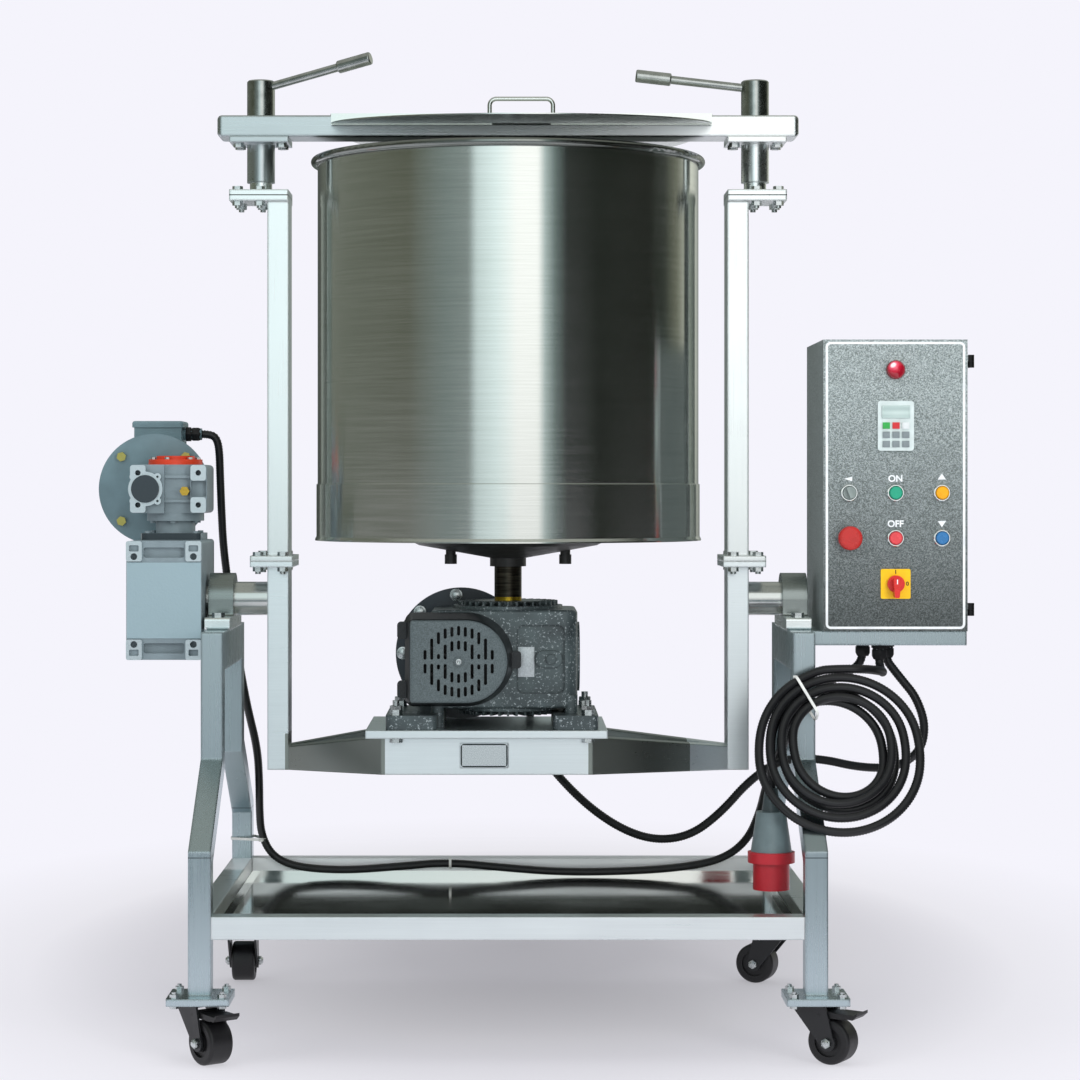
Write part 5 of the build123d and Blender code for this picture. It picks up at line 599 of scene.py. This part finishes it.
# Hexagon bolt with a washer, modelled once along its axis and copied round the flange
motor_x, motor_z, bolt_circle, flange_face = -86, 653, 107, 100
washer = stud(sides=24, radius=0.0115, height=0.0018)
raised(upward, rim=0.0022, lift=0.0002)
soften(0.0003)
bolt = stud(sides=6, radius=0.0098, height=0.0064, foot=0.0018)
raised(upward, rim=0.0012, lift=0.0007)
soften(0.0006)
washer.select_set(True)
bpy.ops.object.join()
spots = []
for turn in map(math.radians, (95, 135, 180, 222)):
    x, z = motor_x + bolt_circle * math.cos(turn), motor_z + bolt_circle * math.sin(turn)
    spots.append((at(x, flange_face, z), (math.pi / 2, 0, 0)))
copies(bolt, spots)
seat("motor_flange_bolts", "yoke", zinc)
bpy.data.objects.remove(bolt)


def thickened(run):
    """Extrudes the whole of the piece in hand along a run, from edit mode, and turns its faces outwards."""
    bpy.ops.mesh.select_all(action="SELECT")
    bpy.ops.mesh.extrude_region_move(TRANSFORM_OT_translate={"value": run})
    bpy.ops.mesh.select_all(action="SELECT")
    bpy.ops.mesh.normals_make_consistent(inside=False)
    bpy.ops.object.mode_set(mode="OBJECT")


# Fan grilles on the rear of both motors: pressed rings on four spokes, modelled once in the unit of the outer ring
rings = []
for outer, inner in ((1.0, 0.9), (0.78, 0.66), (0.54, 0.42), (0.3, 0.0)):
    bpy.ops.mesh.primitive_circle_add(vertices=64, radius=outer, fill_type="NGON")
    if inner:
        pick("FACE", lambda middle, normal: True)
        bpy.ops.mesh.inset(thickness=outer - inner)
        bpy.ops.mesh.delete(type="FACE")
        bpy.ops.object.mode_set(mode="OBJECT")
    rings.append(bpy.context.object)
for turn in (math.pi / 4, 3 * math.pi / 4):
    bpy.ops.mesh.primitive_plane_add(size=1.0, location=(0, 0, 0.01), rotation=(0, 0, turn))
    bpy.context.object.scale = (1.9, 0.09, 1.0)
    bpy.ops.object.transform_apply(location=True, rotation=True, scale=True)
    rings.append(bpy.context.object)
for ring in rings:
    ring.select_set(True)
bpy.ops.object.join()
grille = bpy.context.object
bpy.ops.object.mode_set(mode="EDIT")
bpy.ops.mesh.select_mode(type="FACE")
thickened(upward * 0.03)
soften(0.004)
for name, spot, radius, body, slot, paint in (
    ("main_motor_grille", at(motor_x, 460, motor_z), 0.084, "yoke", "dark_grey_paint", motor_enamel),
    ("tilt_motor_grille", at(-654.5, 398, 954), 0.056, "stand", "light_grey_paint", motor_case),
):
    # Behind the rings the cowl is open; the motor's face there is painted near black, as painted shade for the dark
    # inside
    tree, _, place, mix = second_tone(paint, "#0C0E0F")
    flat = add(tree, "VectorMath MULTIPLY", {1: (1, 0, 1)}, _0=place)
    off = add(tree, "VectorMath DISTANCE", {1: (spot.x, 0, spot.z)}, _0=flat)
    inside = add(tree, "Math LESS_THAN", {1: 0.95 * radius}, _0=off)
    rear = along(tree, place, "Y", "COMPARE", spot.y, 0.0003)
    link(mix, _0=add(tree, "Math MULTIPLY", _0=inside, _1=rear))
    copies(grille, [((0, 0, 0), (0, 0, 0))])
    bpy.context.object.scale = (radius, radius, 0.05)
    bpy.context.object.rotation_euler = (-math.pi / 2, 0, 0)
    bpy.context.object.location = spot
    seat(name, body, paint)
bpy.data.objects.remove(grille)

# Pan-head screw in the middle of the cowl, with a driver recess
screw = stud(sides=32, radius=0.0052, height=0.0024)
raised(upward, rim=0.0028, lift=-0.001)
soften(0.0006)
screw.location = at(motor_x, -174.4, motor_z)
screw.rotation_euler = (math.pi / 2, 0, 0)
seat("cowl_screw", "yoke", zinc)


def slab(size, place=(0, 0, 0)):
    """Starts the piece in hand as a block of a size round a place."""
    bpy.ops.mesh.primitive_cube_add(size=1.0, location=place)
    bpy.context.object.scale = size
    bpy.ops.object.transform_apply(location=True, scale=True)
    return bpy.context.object


# Plain rating plate, thin aluminium with a turned-down edge
slab((0.029, 0.0008, 0.053), at(32, -92.3, 648))
raised(forward, rim=0.0014, lift=0.0004)
soften(0.0003)
plate_metal = mottled("printed_aluminium_plate", 0.5, 3.0, 2.0, ("#AEB7B9", "#C9D1D3"), (0.3, 0.5))
seat("rating_plate", "yoke", plate_metal)

# -------- Drum
# A rolled stainless shell with a beaded rim and a skirt band, bright-rolled with faint round-and-round
# lines, over a granite base stone, on a black-oxide hub and the gearbox's output shaft.
drum_steel, tree, shader, place = finish("bright_rolled_stainless_drum", {"Metallic": 1.0, "Anisotropic": 1.0})
# Bright-rolled sheet: what it reflects stays in upright bands, with faint level rolling lines 3 mm apart
stretched = add(tree, "Mapping", {"Scale": (6.0, 6.0, 1000 / 3.0)}, Vector=place)
strokes = add(tree, "TexNoise", {"Scale": 1.0, "Detail": 3.0}, Vector=stretched)
clouds = add(tree, "TexNoise", {"Scale": 1000 / 260.0, "Detail": 3.0}, Vector=place)
both = add(tree, "Mix", {"Factor": 0.6}, A=clouds, B=strokes)
rough = add(tree, "MapRange", {**noise_span, "To Min": 0.14, "To Max": 0.175}, Value=both)
tint = add(tree, "ValToRGB", {"stops": [(0.3, "#CFD3CD"), (0.7, "#E2E5E1")]}, Fac=both)
bump = add(tree, "Bump", {"Strength": 0.02, "Distance": 0.0002}, Height=strokes)
upright = add(tree, "CombineXYZ", {"X": 0.003, "Y": 0.002, "Z": 1.0})
link(shader, Base_Color=tint, Roughness=rough, Normal=bump, Tangent=upright)
# The rolled bead at the rim is duller
second_tone(drum_steel, "#8A8E8A", "Z", "GREATER_THAN", 1.531)
dress(drum_steel, "drum_shell", "drum_skirt")

granite, tree, shader, place = finish("honed_grey_granite", {"Roughness": 0.45})
# Granite: pale feldspar grains about 4 mm across, with black mica and a little pink
grains = add(tree, "TexVoronoi", {"Scale": 1000 / 4.0}, Vector=place)
cells = add(tree, "SeparateColor", Color=grains.outputs["Color"])
tint = add(tree, "ValToRGB", {"steps": [(0.0, "#2C2B2C"), (0.2, "#6F6C6B"), (0.5, "#9A9693"), (0.78, "#B7ACA6")]},
           Fac=cells)
bump = add(tree, "Bump", {"Strength": 0.2, "Distance": 0.0003}, Height=grains.outputs["Distance"])
link(shader, Base_Color=tint, Normal=bump)
dress(granite, "base_stone", "left_roller", "right_roller")

dress(moulded("black_oxide_hub", "#232422", 0.4, 1.0, 0.1), "drum_hub")
shaft, tree, shader, place = finish("black_oxide_shaft_with_bronze_bush", {"Metallic": 0.9, "Roughness": 0.3})
# The shaft is oiled black oxide, and shows bare bronze at its lowest shoulder
turned = add(tree, "Mapping", {"Scale": (20.0, 20.0, 1000 / 2.5)}, Vector=place)
rings = add(tree, "TexNoise", {"Scale": 1.0, "Detail": 2.0}, Vector=turned)
black = add(tree, "ValToRGB", {"stops": [(0.3, "#15130F"), (0.7, "#4A463C")]}, Fac=rings)
bronze = add(tree, "ValToRGB", {"stops": [(0.3, "#A8871C"), (0.7, "#D9BB44")]}, Fac=rings)
low = along(tree, place, "Z", "LESS_THAN", 0.760)
link(shader, Base_Color=add(tree, "Mix", {"data_type": "RGBA"}, _0=low, _6=black, _7=bronze))
dress(shaft, "output_shaft")

# -------- Crossbar, roller holder, handles and lid
# A ground rectangular tube with two sleeves, clamped on its posts by two turned lever handles, carrying
# the roller holder and a two-part lid of pressed stainless sheet with a bent wire bail.
bar_steel = satin_steel("satin_ground_stainless_crossbar", "#F4F8F8", 0.28, "x", 0.004)
# Painted shade: the bar is painted duller towards its left end, as the light falls on it
tree, _, place, mix = second_tone(bar_steel, "#C3CBCD")
parts = add(tree, "SeparateXYZ", Vector=place).outputs
link(mix, _0=add(tree, "MapRange", {"From Min": 0.3, "From Max": -0.3}, Value=parts["X"]))
dress(bar_steel, "crossbar", "roller_holder")
dress(satin_steel("brushed_stainless_lid_sheet", "#E4E8E4", 0.24, "x"), "rear_lid", "front_lid")
# Turned and polished bar: bright, with faint rubbed patches where hands have held it
lever_steel = mottled("turned_stainless_lever", 1.0, 18.0, 3.0, ("#A5A9A6", "#C3C7C4"), (0.16, 0.34))
dress(lever_steel, "left_handle", "right_handle")

# -------- Control box
# A folded steel box with a hinged door in speckled grey powder coat, on a bright stainless tray, with a
# drive unit inside.
speckle, tree, shader, place = finish("speckled_grey_powder_coat", {"Metallic": 0.5, "Roughness": 0.36})
# Speckle powder with metal flake: pale grains 1.4 mm across on a dark ground, each slightly raised
grains = add(tree, "TexVoronoi", {"Scale": 1000 / 1.4, "Randomness": 1.0}, Vector=place)
cells = add(tree, "SeparateColor", Color=grains.outputs["Color"])
tint = add(tree, "ValToRGB", {"stops": [(0.1, "#78827F"), (0.5, "#9DA8A8"), (0.95, "#CAD4D3")]}, Fac=cells)
# Painted light: the door is painted paler towards its top and darker low down, as the light falls on it
parts = add(tree, "SeparateXYZ", Vector=place).outputs
height = add(tree, "MapRange", {"From Min": 0.73, "From Max": 1.12, "To Min": 0.28, "To Max": 1.0}, Value=parts["Z"])
behind = add(tree, "Math GREATER_THAN", {1: -0.1478}, _0=parts["Y"])
share = add(tree, "Math MAXIMUM", _0=height, _1=behind)
coat = add(tree, "Mix", darken, _6=tint, _7=share)
bump = add(tree, "Bump", {"Strength": 0.3, "Distance": 0.0006}, Height=cells)
link(shader, Base_Color=coat, Normal=bump)
# The hinge knuckles are black
second_tone(speckle, "#1A1B1C", "X", "GREATER_THAN", 0.7743)
dress(speckle, "control_box", "control_box_door")
dress(moulded("moulded_dark_drive_case", "#2B2F31", 0.45), "drive_unit")

# -------- Panel fittings
# Chrome-ringed push buttons with moulded caps, a red pilot lamp, a keypad with a display, a speed knob,
# and a main switch with a red handle on a yellow plate. The door carries a white screen-printed border.
def banded(name, settings, span, tones, patch, detail, shades):
    """Mouldings in bands of tone by height in metres, with patches of a size in millimetres off their tone."""
    material, tree, shader, place = finish(name, settings)
    parts = add(tree, "SeparateXYZ", Vector=place).outputs
    height = add(tree, "MapRange", {"From Min": span[0], "From Max": span[1]}, Value=parts["Z"])
    tint = add(tree, "ValToRGB", {"steps": tones}, Fac=height)
    uneven = add(tree, "TexNoise", {"Scale": 1000 / patch, "Detail": detail}, Vector=place)
    shade = add(tree, "MapRange", {"To Min": shades[0], "To Max": shades[1]}, Value=uneven)
    link(shader, Base_Color=add(tree, "Mix", darken, _6=tint, _7=shade))
    return material, tree, shader, place, height


# The fittings are one node: the switch's plate is yellow plastic, the rings above are chrome, the lamp's base is red
fittings, tree, shader, place, height = banded("chromed_bezels_and_yellow_plate", {}, (0.7, 1.2), [
    (0.0, "#F2C200"), (0.28, "#E3E9E9"), (0.84, "#7A0F1B")], patch=8.0, detail=2.0, shades=(0.88, 1.08))
shine = add(tree, "ValToRGB", {"steps": [(0.0, 0.0), (0.28, 1.0), (0.84, 0.2)]}, Fac=height)
gloss = add(tree, "ValToRGB", {"steps": [(0.0, 0.4), (0.28, 0.15), (0.84, 0.25)]}, Fac=height)
link(shader, Metallic=shine, Roughness=gloss)
dress(fittings, "panel_fittings")
dress(moulded("pale_grey_keypad_case", "#CFDCD9", 0.4), "keypad")
dress(moulded("moulded_grey_knob", "#87938F", 0.4), "speed_knob")
for node, tone in (("on_button", "#1F9A78"), ("tilt_button", "#EDA400"), ("stop_button", "#B42A26"),
                   ("off_button", "#D9474C"), ("untilt_button", "#2F72A8"), ("main_switch", "#CF2B25")):
    dress(moulded(node + "_moulded_plastic", tone, 0.28), node)

door_face = -152.0
print_ink = moulded("white_screen_print", "#E9EEEE", 0.5)
panel_x = 677
rounded_sheet(at(panel_x, door_face - 0.05, 960), width=0.244, height=0.502, corner=0.009, segments=6)
bpy.ops.mesh.inset(thickness=0.0042)
bpy.ops.mesh.delete(type="FACE")
bpy.ops.mesh.select_all(action="SELECT")
bpy.ops.mesh.extrude_region_move(TRANSFORM_OT_translate={"value": forward * 0.0002})
bpy.ops.object.mode_set(mode="OBJECT")
seat("panel_border", "door", print_ink)


def middle_of(node):
    """The middle of a node's box."""
    low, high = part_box(node)
    return (Vector(low) + Vector(high)) / 2


def lettering(name, words, where, height, body, ink):
    """Screen-printed lettering, made a mesh before its place is applied."""
    bpy.ops.object.text_add(location=where, rotation=(math.pi / 2, 0, 0))
    text = bpy.context.object
    text.data.body = words
    text.data.size = height / 0.72
    text.data.align_x = "CENTER"
    text.data.align_y = "CENTER"
    text.data.extrude = 0.0001
    text.data.offset = height * 0.04
    bpy.ops.object.convert(target="MESH")
    seat(name, body, ink)


ink_face = at(0, door_face - 0.15, 0).y
for name, words, button in (("on_lettering", "ON", "on_button"), ("off_lettering", "OFF", "off_button")):
    spot = middle_of(button)
    lettering(name, words, (spot.x, ink_face, spot.z + 0.0245), 0.0115, "door", print_ink)

# Arrows for tilting and back, and a wedge for the speed, in place of words
for name, button, turn, narrow, tall, rise in (
    ("tilt_arrow", "tilt_button", 0.0, 1.0, 0.85, 0.0265),
    ("untilt_arrow", "untilt_button", math.pi, 1.0, 0.85, 0.0265),
    ("speed_wedge", "speed_knob", -math.pi / 2, 0.55, 1.2, 0.0245),
):
    spot = middle_of(button)
    bpy.ops.mesh.primitive_circle_add(vertices=3, radius=0.0085, fill_type="NGON", location=(0, 0, 0))
    sign = bpy.context.object
    bpy.ops.object.mode_set(mode="EDIT")
    bpy.ops.mesh.select_all(action="SELECT")
    bpy.ops.transform.resize(value=(narrow, tall, 1.0))
    thickened(upward * 0.0002)
    sign.rotation_euler = (math.pi / 2, turn, 0)
    sign.location = (spot.x, ink_face, spot.z + rise)
    seat(name, "door", print_ink)

# Pilot lamp: a ribless red dome over the lamp's ring
lamp_red, tree, shader, place = finish("clear_red_lamp_lens", {"Coat Weight": 0.6, "Emission Strength": 0.05,
                                                              "Emission Color": "#E02038"})
cut = add(tree, "TexNoise", {"Scale": 1000 / 5.0, "Detail": 1.0}, Vector=place)
# Painted highlight: the clear dome's colour turns pale at its upper left, where the light would catch it
facing = add(tree, "NewGeometry").outputs["Normal"]
spot = add(tree, "VectorMath DOT_PRODUCT", {1: (-0.36, -0.81, 0.46)}, _0=facing)
tint = add(tree, "ValToRGB", {"stops": [(0.55, "#8E0A20"), (0.8, "#B91430"), (0.93, "#DD5068"), (0.985, "#FBEDEF")]},
           Fac=spot)
rough = add(tree, "MapRange", {"To Min": 0.08, "To Max": 0.2}, Value=cut)
link(shader, Base_Color=tint, Roughness=rough)
bpy.ops.mesh.primitive_uv_sphere_add(segments=32, ring_count=16, radius=0.0156)
bpy.ops.object.mode_set(mode="EDIT")
bpy.ops.mesh.select_all(action="SELECT")
bpy.ops.mesh.bisect(plane_co=(0, 0, 0), plane_no=(0, 1, 0), use_fill=True, clear_outer=True)
bpy.ops.mesh.select_all(action="SELECT")
bpy.ops.transform.resize(value=(1.0, 0.78, 1.0))
bpy.ops.object.mode_set(mode="OBJECT")
bpy.ops.object.shade_smooth_by_angle(angle=math.radians(40))
bpy.context.object.location = at(panel_x, door_face - 6.0, 1162)
seat("lamp_lens", "door", lamp_red)

# Keypad: a display window and nine soft keys
key_face = Vector(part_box("keypad")[0]).y
key_middle = middle_of("keypad")
display_glass, tree, shader, place = finish("grey_green_display", {"Coat Weight": 0.5, "Roughness": 0.2})
rows = add(tree, "TexWave", {"bands_direction": "Z", "Scale": 1000 / 40.0}, Vector=place)
tint = add(tree, "ValToRGB", {"stops": [(0.0, "#A9BDB8"), (1.0, "#B9CCC6")]}, Fac=rows.outputs["Fac"])
link(shader, Base_Color=tint)
slab((0.049, 0.0014, 0.0226), (key_middle.x, key_face - 0.0003, 1.0884))
raised(forward, rim=0.0022, lift=-0.0006)
soften(0.0003)
seat("keypad_display", "door", display_glass)
key = slab((0.0126, 0.0022, 0.0113))
raised(forward, rim=0.0014, lift=0.0006)
soften(0.0008)
top_row, mid_row, low_row = 1.0644, 1.0483, 1.0322
for name, tone, spots in (
    ("green_key", "#38A84E", [(-0.017, top_row)]),
    ("red_key", "#D0353A", [(0.0, top_row)]),
    ("pale_key", "#DDE4E3", [(0.017, top_row)]),
    ("grey_keys", "#808B8D", [(x, z) for z in (mid_row, low_row) for x in (-0.017, 0.0, 0.017)]),
):
    copies(key, [((key_middle.x + x, key_face - 0.0006, z), (0, 0, 0)) for x, z in spots])
    seat("keypad_" + name, "door", moulded("soft_" + name + "_rubber", tone, 0.5))
bpy.data.objects.remove(key)

# Switch plate marks, 0 and 1 in black, and the white line on the handle that points to them
switch = at(panel_x, 0, 788)
plate_ink = moulded("black_screen_print", "#17181A", 0.5)
plate_face = at(0, door_face - 3.1, 0).y
lettering("switch_mark_0", "0", (switch.x + 0.0205, plate_face, switch.z), 0.007, "door", plate_ink)
lettering("switch_mark_1", "1", (switch.x, plate_face, switch.z + 0.0208), 0.007, "door", plate_ink)
handle_face = Vector(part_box("main_switch")[0]).y
slab((0.0018, 0.0004, 0.0085), (switch.x, handle_face, switch.z + 0.0042))
pick("EDGE", lambda middle, run: abs(run.y) > 0.9)
bpy.ops.mesh.bevel(offset=0.0008, segments=4)
bpy.ops.object.mode_set(mode="OBJECT")
seat("switch_line", "main_switch", print_ink)

# -------- Cables
# Black corrugated conduit, 16 mm over its ribs, on the two motor cables and the supply cable. The ribs
# of the real conduit are 3 mm apart, and are drawn at 5 mm so that they show.
conduit_black = moulded("corrugated_black_nylon_conduit", "#17181A", 0.4, 1.0, 0.05)
conduit, rib_pitch, rib_depth = 0.016, 0.005, 0.0009


def placed(points):
    """Route points in millimetres from the drum axis, in metres in the frame."""
    return [at(*point) for point in points]


def ribbed_conduit(name, route):
    """A ribbed tube along the smooth spline that has the route's points as its control points."""
    line = bpy.data.curves.new(name + "_line", "CURVE")
    line.dimensions = "3D"
    line.resolution_u = 16
    spline = line.splines.new("NURBS")
    spline.points.add(len(route) - 1)
    for point, spot in zip(spline.points, route):
        point.co = (*spot, 1.0)
    spline.order_u = 3
    spline.use_endpoint_u = True
    lead = bpy.data.objects.new(name + "_line", line)
    bpy.context.scene.collection.objects.link(lead)
    drawn = bpy.data.meshes.new_from_object(lead)
    smooth = [v.co.copy() for v in drawn.vertices]
    bpy.data.objects.remove(lead)
    bpy.data.meshes.remove(drawn)
    lengths = [0.0]
    for here, after in zip(smooth, smooth[1:]):
        lengths.append(lengths[-1] + (after - here).length)
    count = round(lengths[-1] / rib_pitch) * 2
    spots = []
    k = 0
    for i in range(count + 1):
        want = lengths[-1] * i / count
        while k < len(lengths) - 2 and lengths[k + 1] < want:
            k += 1
        share = (want - lengths[k]) / (lengths[k + 1] - lengths[k])
        spots.append(smooth[k].lerp(smooth[k + 1], share))
    sides = 12
    vertices, faces = [], []
    ahead = (spots[1] - spots[0]).normalized()
    across = ahead.orthogonal().normalized()
    for i, spot in enumerate(spots):
        ahead = (spots[min(i + 1, count)] - spots[max(i - 1, 0)]).normalized()
        across = (across - ahead * across.dot(ahead)).normalized()
        up = ahead.cross(across)
        radius = conduit / 2 - (rib_depth if i % 2 else 0.0)
        for j in range(sides):
            turn = 2 * math.pi * j / sides
            vertices.append(spot + across * (radius * math.cos(turn)) + up * (radius * math.sin(turn)))
    for i in range(count):
        for j in range(sides):
            a, b = i * sides + j, i * sides + (j + 1) % sides
            faces.append((a, b, b + sides, a + sides))
    faces.append(tuple(range(sides - 1, -1, -1)))
    faces.append(tuple(range(count * sides, count * sides + sides)))
    mesh = bpy.data.meshes.new(name)
    mesh.from_pydata(vertices, [], faces)
    mesh.polygons.foreach_set("use_smooth", [True] * len(faces))
    mesh.materials.append(conduit_black)
    tube = bpy.data.objects.new(name, mesh)
    bpy.context.scene.collection.objects.link(tube)
    return tube, smooth, lengths[-1]


tilt_route = placed([
    (-576.5, 242, 1057), (-558.5, 242, 1057), (-548, 243, 1047), (-544, 245, 1025), (-543, 248, 985), (-541, 252, 920),
    (-538, 256, 850), (-530, 260, 780), (-520, 262, 700), (-508, 268, 620), (-495, 285, 540), (-478, 310, 460),
    (-476, 330, 395), (-477, 345, 335), (-474, 350, 290), (-455, 350, 252), (-420, 350, 232), (-370, 350, 224),
    (-300, 350, 222), (-207, 350, 229), (-115, 350, 237), (-15, 350, 227), (100, 350, 218), (215, 350, 219),
    (330, 350, 226), (410, 346, 242), (458, 332, 280), (480, 300, 340), (486, 240, 396), (498, 165, 450),
    (520, 90, 520), (550, 40, 585), (592, 5, 615), (624, -7, 631), (637, -10, 650), (637, -10, 668),
])
main_route = placed([
    (41, 244, 573), (41, 244, 538), (44, 228, 482), (88, 182, 424), (150, 140, 365), (215, 110, 325), (275, 90, 310),
    (335, 74, 322), (388, 60, 365), (438, 45, 425), (494, 22, 466), (560, -10, 470), (628, -38, 456), (690, -62, 458),
    (730, -80, 487), (740, -84, 534), (724, -80, 584), (700, -73, 614), (683, -66, 636), (673, -62, 650),
    (673, -62, 668),
])
for name, route in (("tilt_motor_cable", tilt_route), ("main_motor_cable", main_route)):
    tube, smooth, length = ribbed_conduit(name + "_conduit", route)
    if name == "main_motor_cable":
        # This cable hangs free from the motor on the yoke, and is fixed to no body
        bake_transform(tube)
    else:
        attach(tube, "stand")
    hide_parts(name)

# The supply cable leaves the box, swings into a hanging coil that winds in and out again, and ends in its plug.
# A tie bunches the turns at the upper left, and away from it they fan out, the front layer more than the back.
coil_middle = at(558, -285, 512)
coil_lean = math.radians(27)
coil_right = Vector((1, 0, 0))
coil_up = Vector((0, math.sin(coil_lean), math.cos(coil_lean)))
coil_front = coil_right.cross(coil_up)
half_turns = [128, 119.3, 110.6, 101.9, 93.2, 84.5, 75.8, 84.5, 93.2, 101.9]
inmost = 6  # the half turn on which the cable goes from the front layer to the back one
points_each, layer_depth, half_gap = 8, 8.4, 7
bulge, swing_bulge = 1.02, 1.012  # the spline runs a little inside its control points
tie_turn = math.radians(117)
fan_middle, front_fan, back_fan = 96, 0.5, 0.16
back_right, back_down = 9, 7


def coil_point(x, y, depth, front):
    """A point of the coil in its own plane, fanned out away from the tie."""
    turn = math.atan2(y, x)
    radius = math.hypot(x, y)
    fan = (1 - math.cos(turn - tie_turn)) / 2
    radius += fan * (radius - fan_middle) * (front_fan if front else back_fan)
    x, y = radius * math.cos(turn), radius * math.sin(turn)
    if not front:
        x, y = x + back_right * fan, y - back_down * fan
    return coil_middle + (coil_right * x + coil_up * y + coil_front * depth) / 1000


supply_route = placed([(653, -118, 668), (653, -118, 650), (654, -130, 636), (655, -152, 633), (649, -190, 638),
                       (617, -227.2, 643.9), (566.7, -227.2, 643.9)])
swing_x, swing, swing_points = 8.7, 136.7, 3
for k in range(swing_points):
    turn = math.radians(90 + 90 * (k + 0.5) / swing_points)
    x, y = swing_x + swing * math.cos(turn) * swing_bulge, half_gap + swing * math.sin(turn) * swing_bulge
    supply_route.append(coil_point(x, y, layer_depth, True))
x, going, layer = -128.0, -1, layer_depth
for k, radius in enumerate(half_turns):
    centre = x - going * radius
    for i in range(points_each):
        share = (i + 0.5) / points_each
        turn = math.pi * share
        flat = centre + (x - centre) * math.cos(turn) * bulge
        rise = going * (half_gap + radius * math.sin(turn) * bulge)
        depth = layer * (1 - 2 * share) if k == inmost else layer
        supply_route.append(coil_point(flat, rise, depth, k < inmost))
    if k == inmost:
        layer = -layer
    x -= going * 2 * radius
    going = -going
supply_route.append(coil_middle + (coil_right * x + coil_up * -26.2 + coil_front * layer) / 1000)
supply_route += placed([(447.4, -289.4, 462.0), (447.4, -289.4, 445.6)])
tube, smooth, length = ribbed_conduit("supply_cable_conduit", supply_route)
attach(tube, "stand")
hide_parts("supply_cable", "supply_coil")

# -------- Plug
# A five-pin industrial plug on the end of the supply cable: a grey moulded grip with a dark boot,
# and a red collar and shroud.
plug_shell, tree, shader, place, _ = banded("moulded_red_and_grey_plug", {"Roughness": 0.36}, (0.25, 0.45), [
    (0.0, "#B01E2A"), (0.438, "#657577"), (0.778, "#3C484A")], patch=14.0, detail=3.0, shades=(0.85, 1.12))
grit = add(tree, "TexNoise", {"Scale": 1000.0, "Detail": 1.0}, Vector=place)
bump = add(tree, "Bump", {"Strength": 0.2, "Distance": 0.0002}, Height=grit)
link(shader, Normal=bump)
dress(plug_shell, "plug")

# -------- Cable glands
# Moulded black glands that hold each conduit where it enters a motor or the box: a hexagon body and a
# domed sealing nut.
gland = stud(sides=6, radius=0.0152, height=0.009)
raised(upward, rim=0.0022, lift=0.003)
for lift, widen in ((0.0, 1.12), (0.011, 1.0), (0.006, 0.78)):
    bpy.ops.mesh.extrude_region_move(TRANSFORM_OT_translate={"value": upward * lift})
    bpy.ops.transform.resize(value=(widen, widen, 1.0))
soften(0.0012, 3)
downward = (math.pi, 0, 0)
for name, body, spots in (
    ("tilt_motor_gland", "stand", [(at(-606, 242, 1057), (0, math.pi / 2, 0))]),
    ("main_motor_gland", "yoke", [(at(41, 244, 603), downward)]),
    ("box_glands", "stand", [(at(x, y, 683), downward) for x, y in ((653, -118), (673, -62), (637, -10))]),
):
    copies(gland, spots)
    seat(name, body, black_nylon)
bpy.data.objects.remove(gland)

# -------- Cable ties
# Natural white nylon ties that hold the tilting motor's cable to a leg and to the rear rail, and the coil
# together: a flat band pulled tight and a square head, with the tail cut off.
tie_white = moulded("natural_white_nylon_tie", "#DADDD8", 0.4)


def cable_tie(name, outline, middle, right, up, width=0.0048, wall=0.0013):
    """A band on an outline in millimetres, with its head at the outline's first point."""
    normal = right.cross(up)
    bpy.ops.mesh.primitive_circle_add(vertices=len(outline), radius=0.03)
    band = bpy.context.object
    for vertex, (x, y) in zip(band.data.vertices, outline):
        vertex.co = middle + (right * x + up * y) / 1000 - normal * width / 2
    bpy.ops.object.mode_set(mode="EDIT")
    bpy.ops.mesh.select_mode(type="EDGE")
    thickened(normal * width)
    bpy.ops.object.modifier_add(type="SOLIDIFY")
    skin = band.modifiers[-1]
    skin.thickness = wall
    skin.offset = 1.0
    bpy.ops.object.modifier_apply(modifier=skin.name)
    head = middle + (right * outline[0][0] + up * outline[0][1]) / 1000
    slab((0.0075, 0.0065, 0.007), head)
    raised(forward, rim=0.0016, lift=-0.0012)
    soften(0.0006)
    band.select_set(True)
    bpy.ops.object.join()
    seat(name, "stand", tie_white)


x_axis, y_axis, z_axis = Vector((1, 0, 0)), Vector((0, 1, 0)), Vector((0, 0, 1))
cable_tie("leg_tie", [(-474, 341.2), (-533, 364.5), (-533, 405.5), (-492, 405.5), (-465.2, 357), (-465.2, 345)],
          at(0, 0, 281), x_axis, y_axis)
reach = 9.2
ring = [(reach * math.cos(math.radians(a)), reach * math.sin(math.radians(a))) for a in range(0, 360, 24)]
cable_tie("rail_tie", ring, at(-111, 350, 235.2), y_axis, z_axis)
radial = coil_right * math.cos(tie_turn) + coil_up * math.sin(tie_turn)
pack_middle = coil_middle + radial * 0.104
half, deep, corner = 38.0, 19.0, 8.0
bunch = []
for cx, cy, start in ((half - corner, deep - corner, 0), (corner - half, deep - corner, 90),
                      (corner - half, corner - deep, 180), (half - corner, corner - deep, 270)):
    for step in range(5):
        turn = math.radians(start + step * 22.5)
        bunch.append((cx + corner * math.cos(turn), cy + corner * math.sin(turn)))
cable_tie("coil_tie", bunch, pack_middle, radial, coil_front)
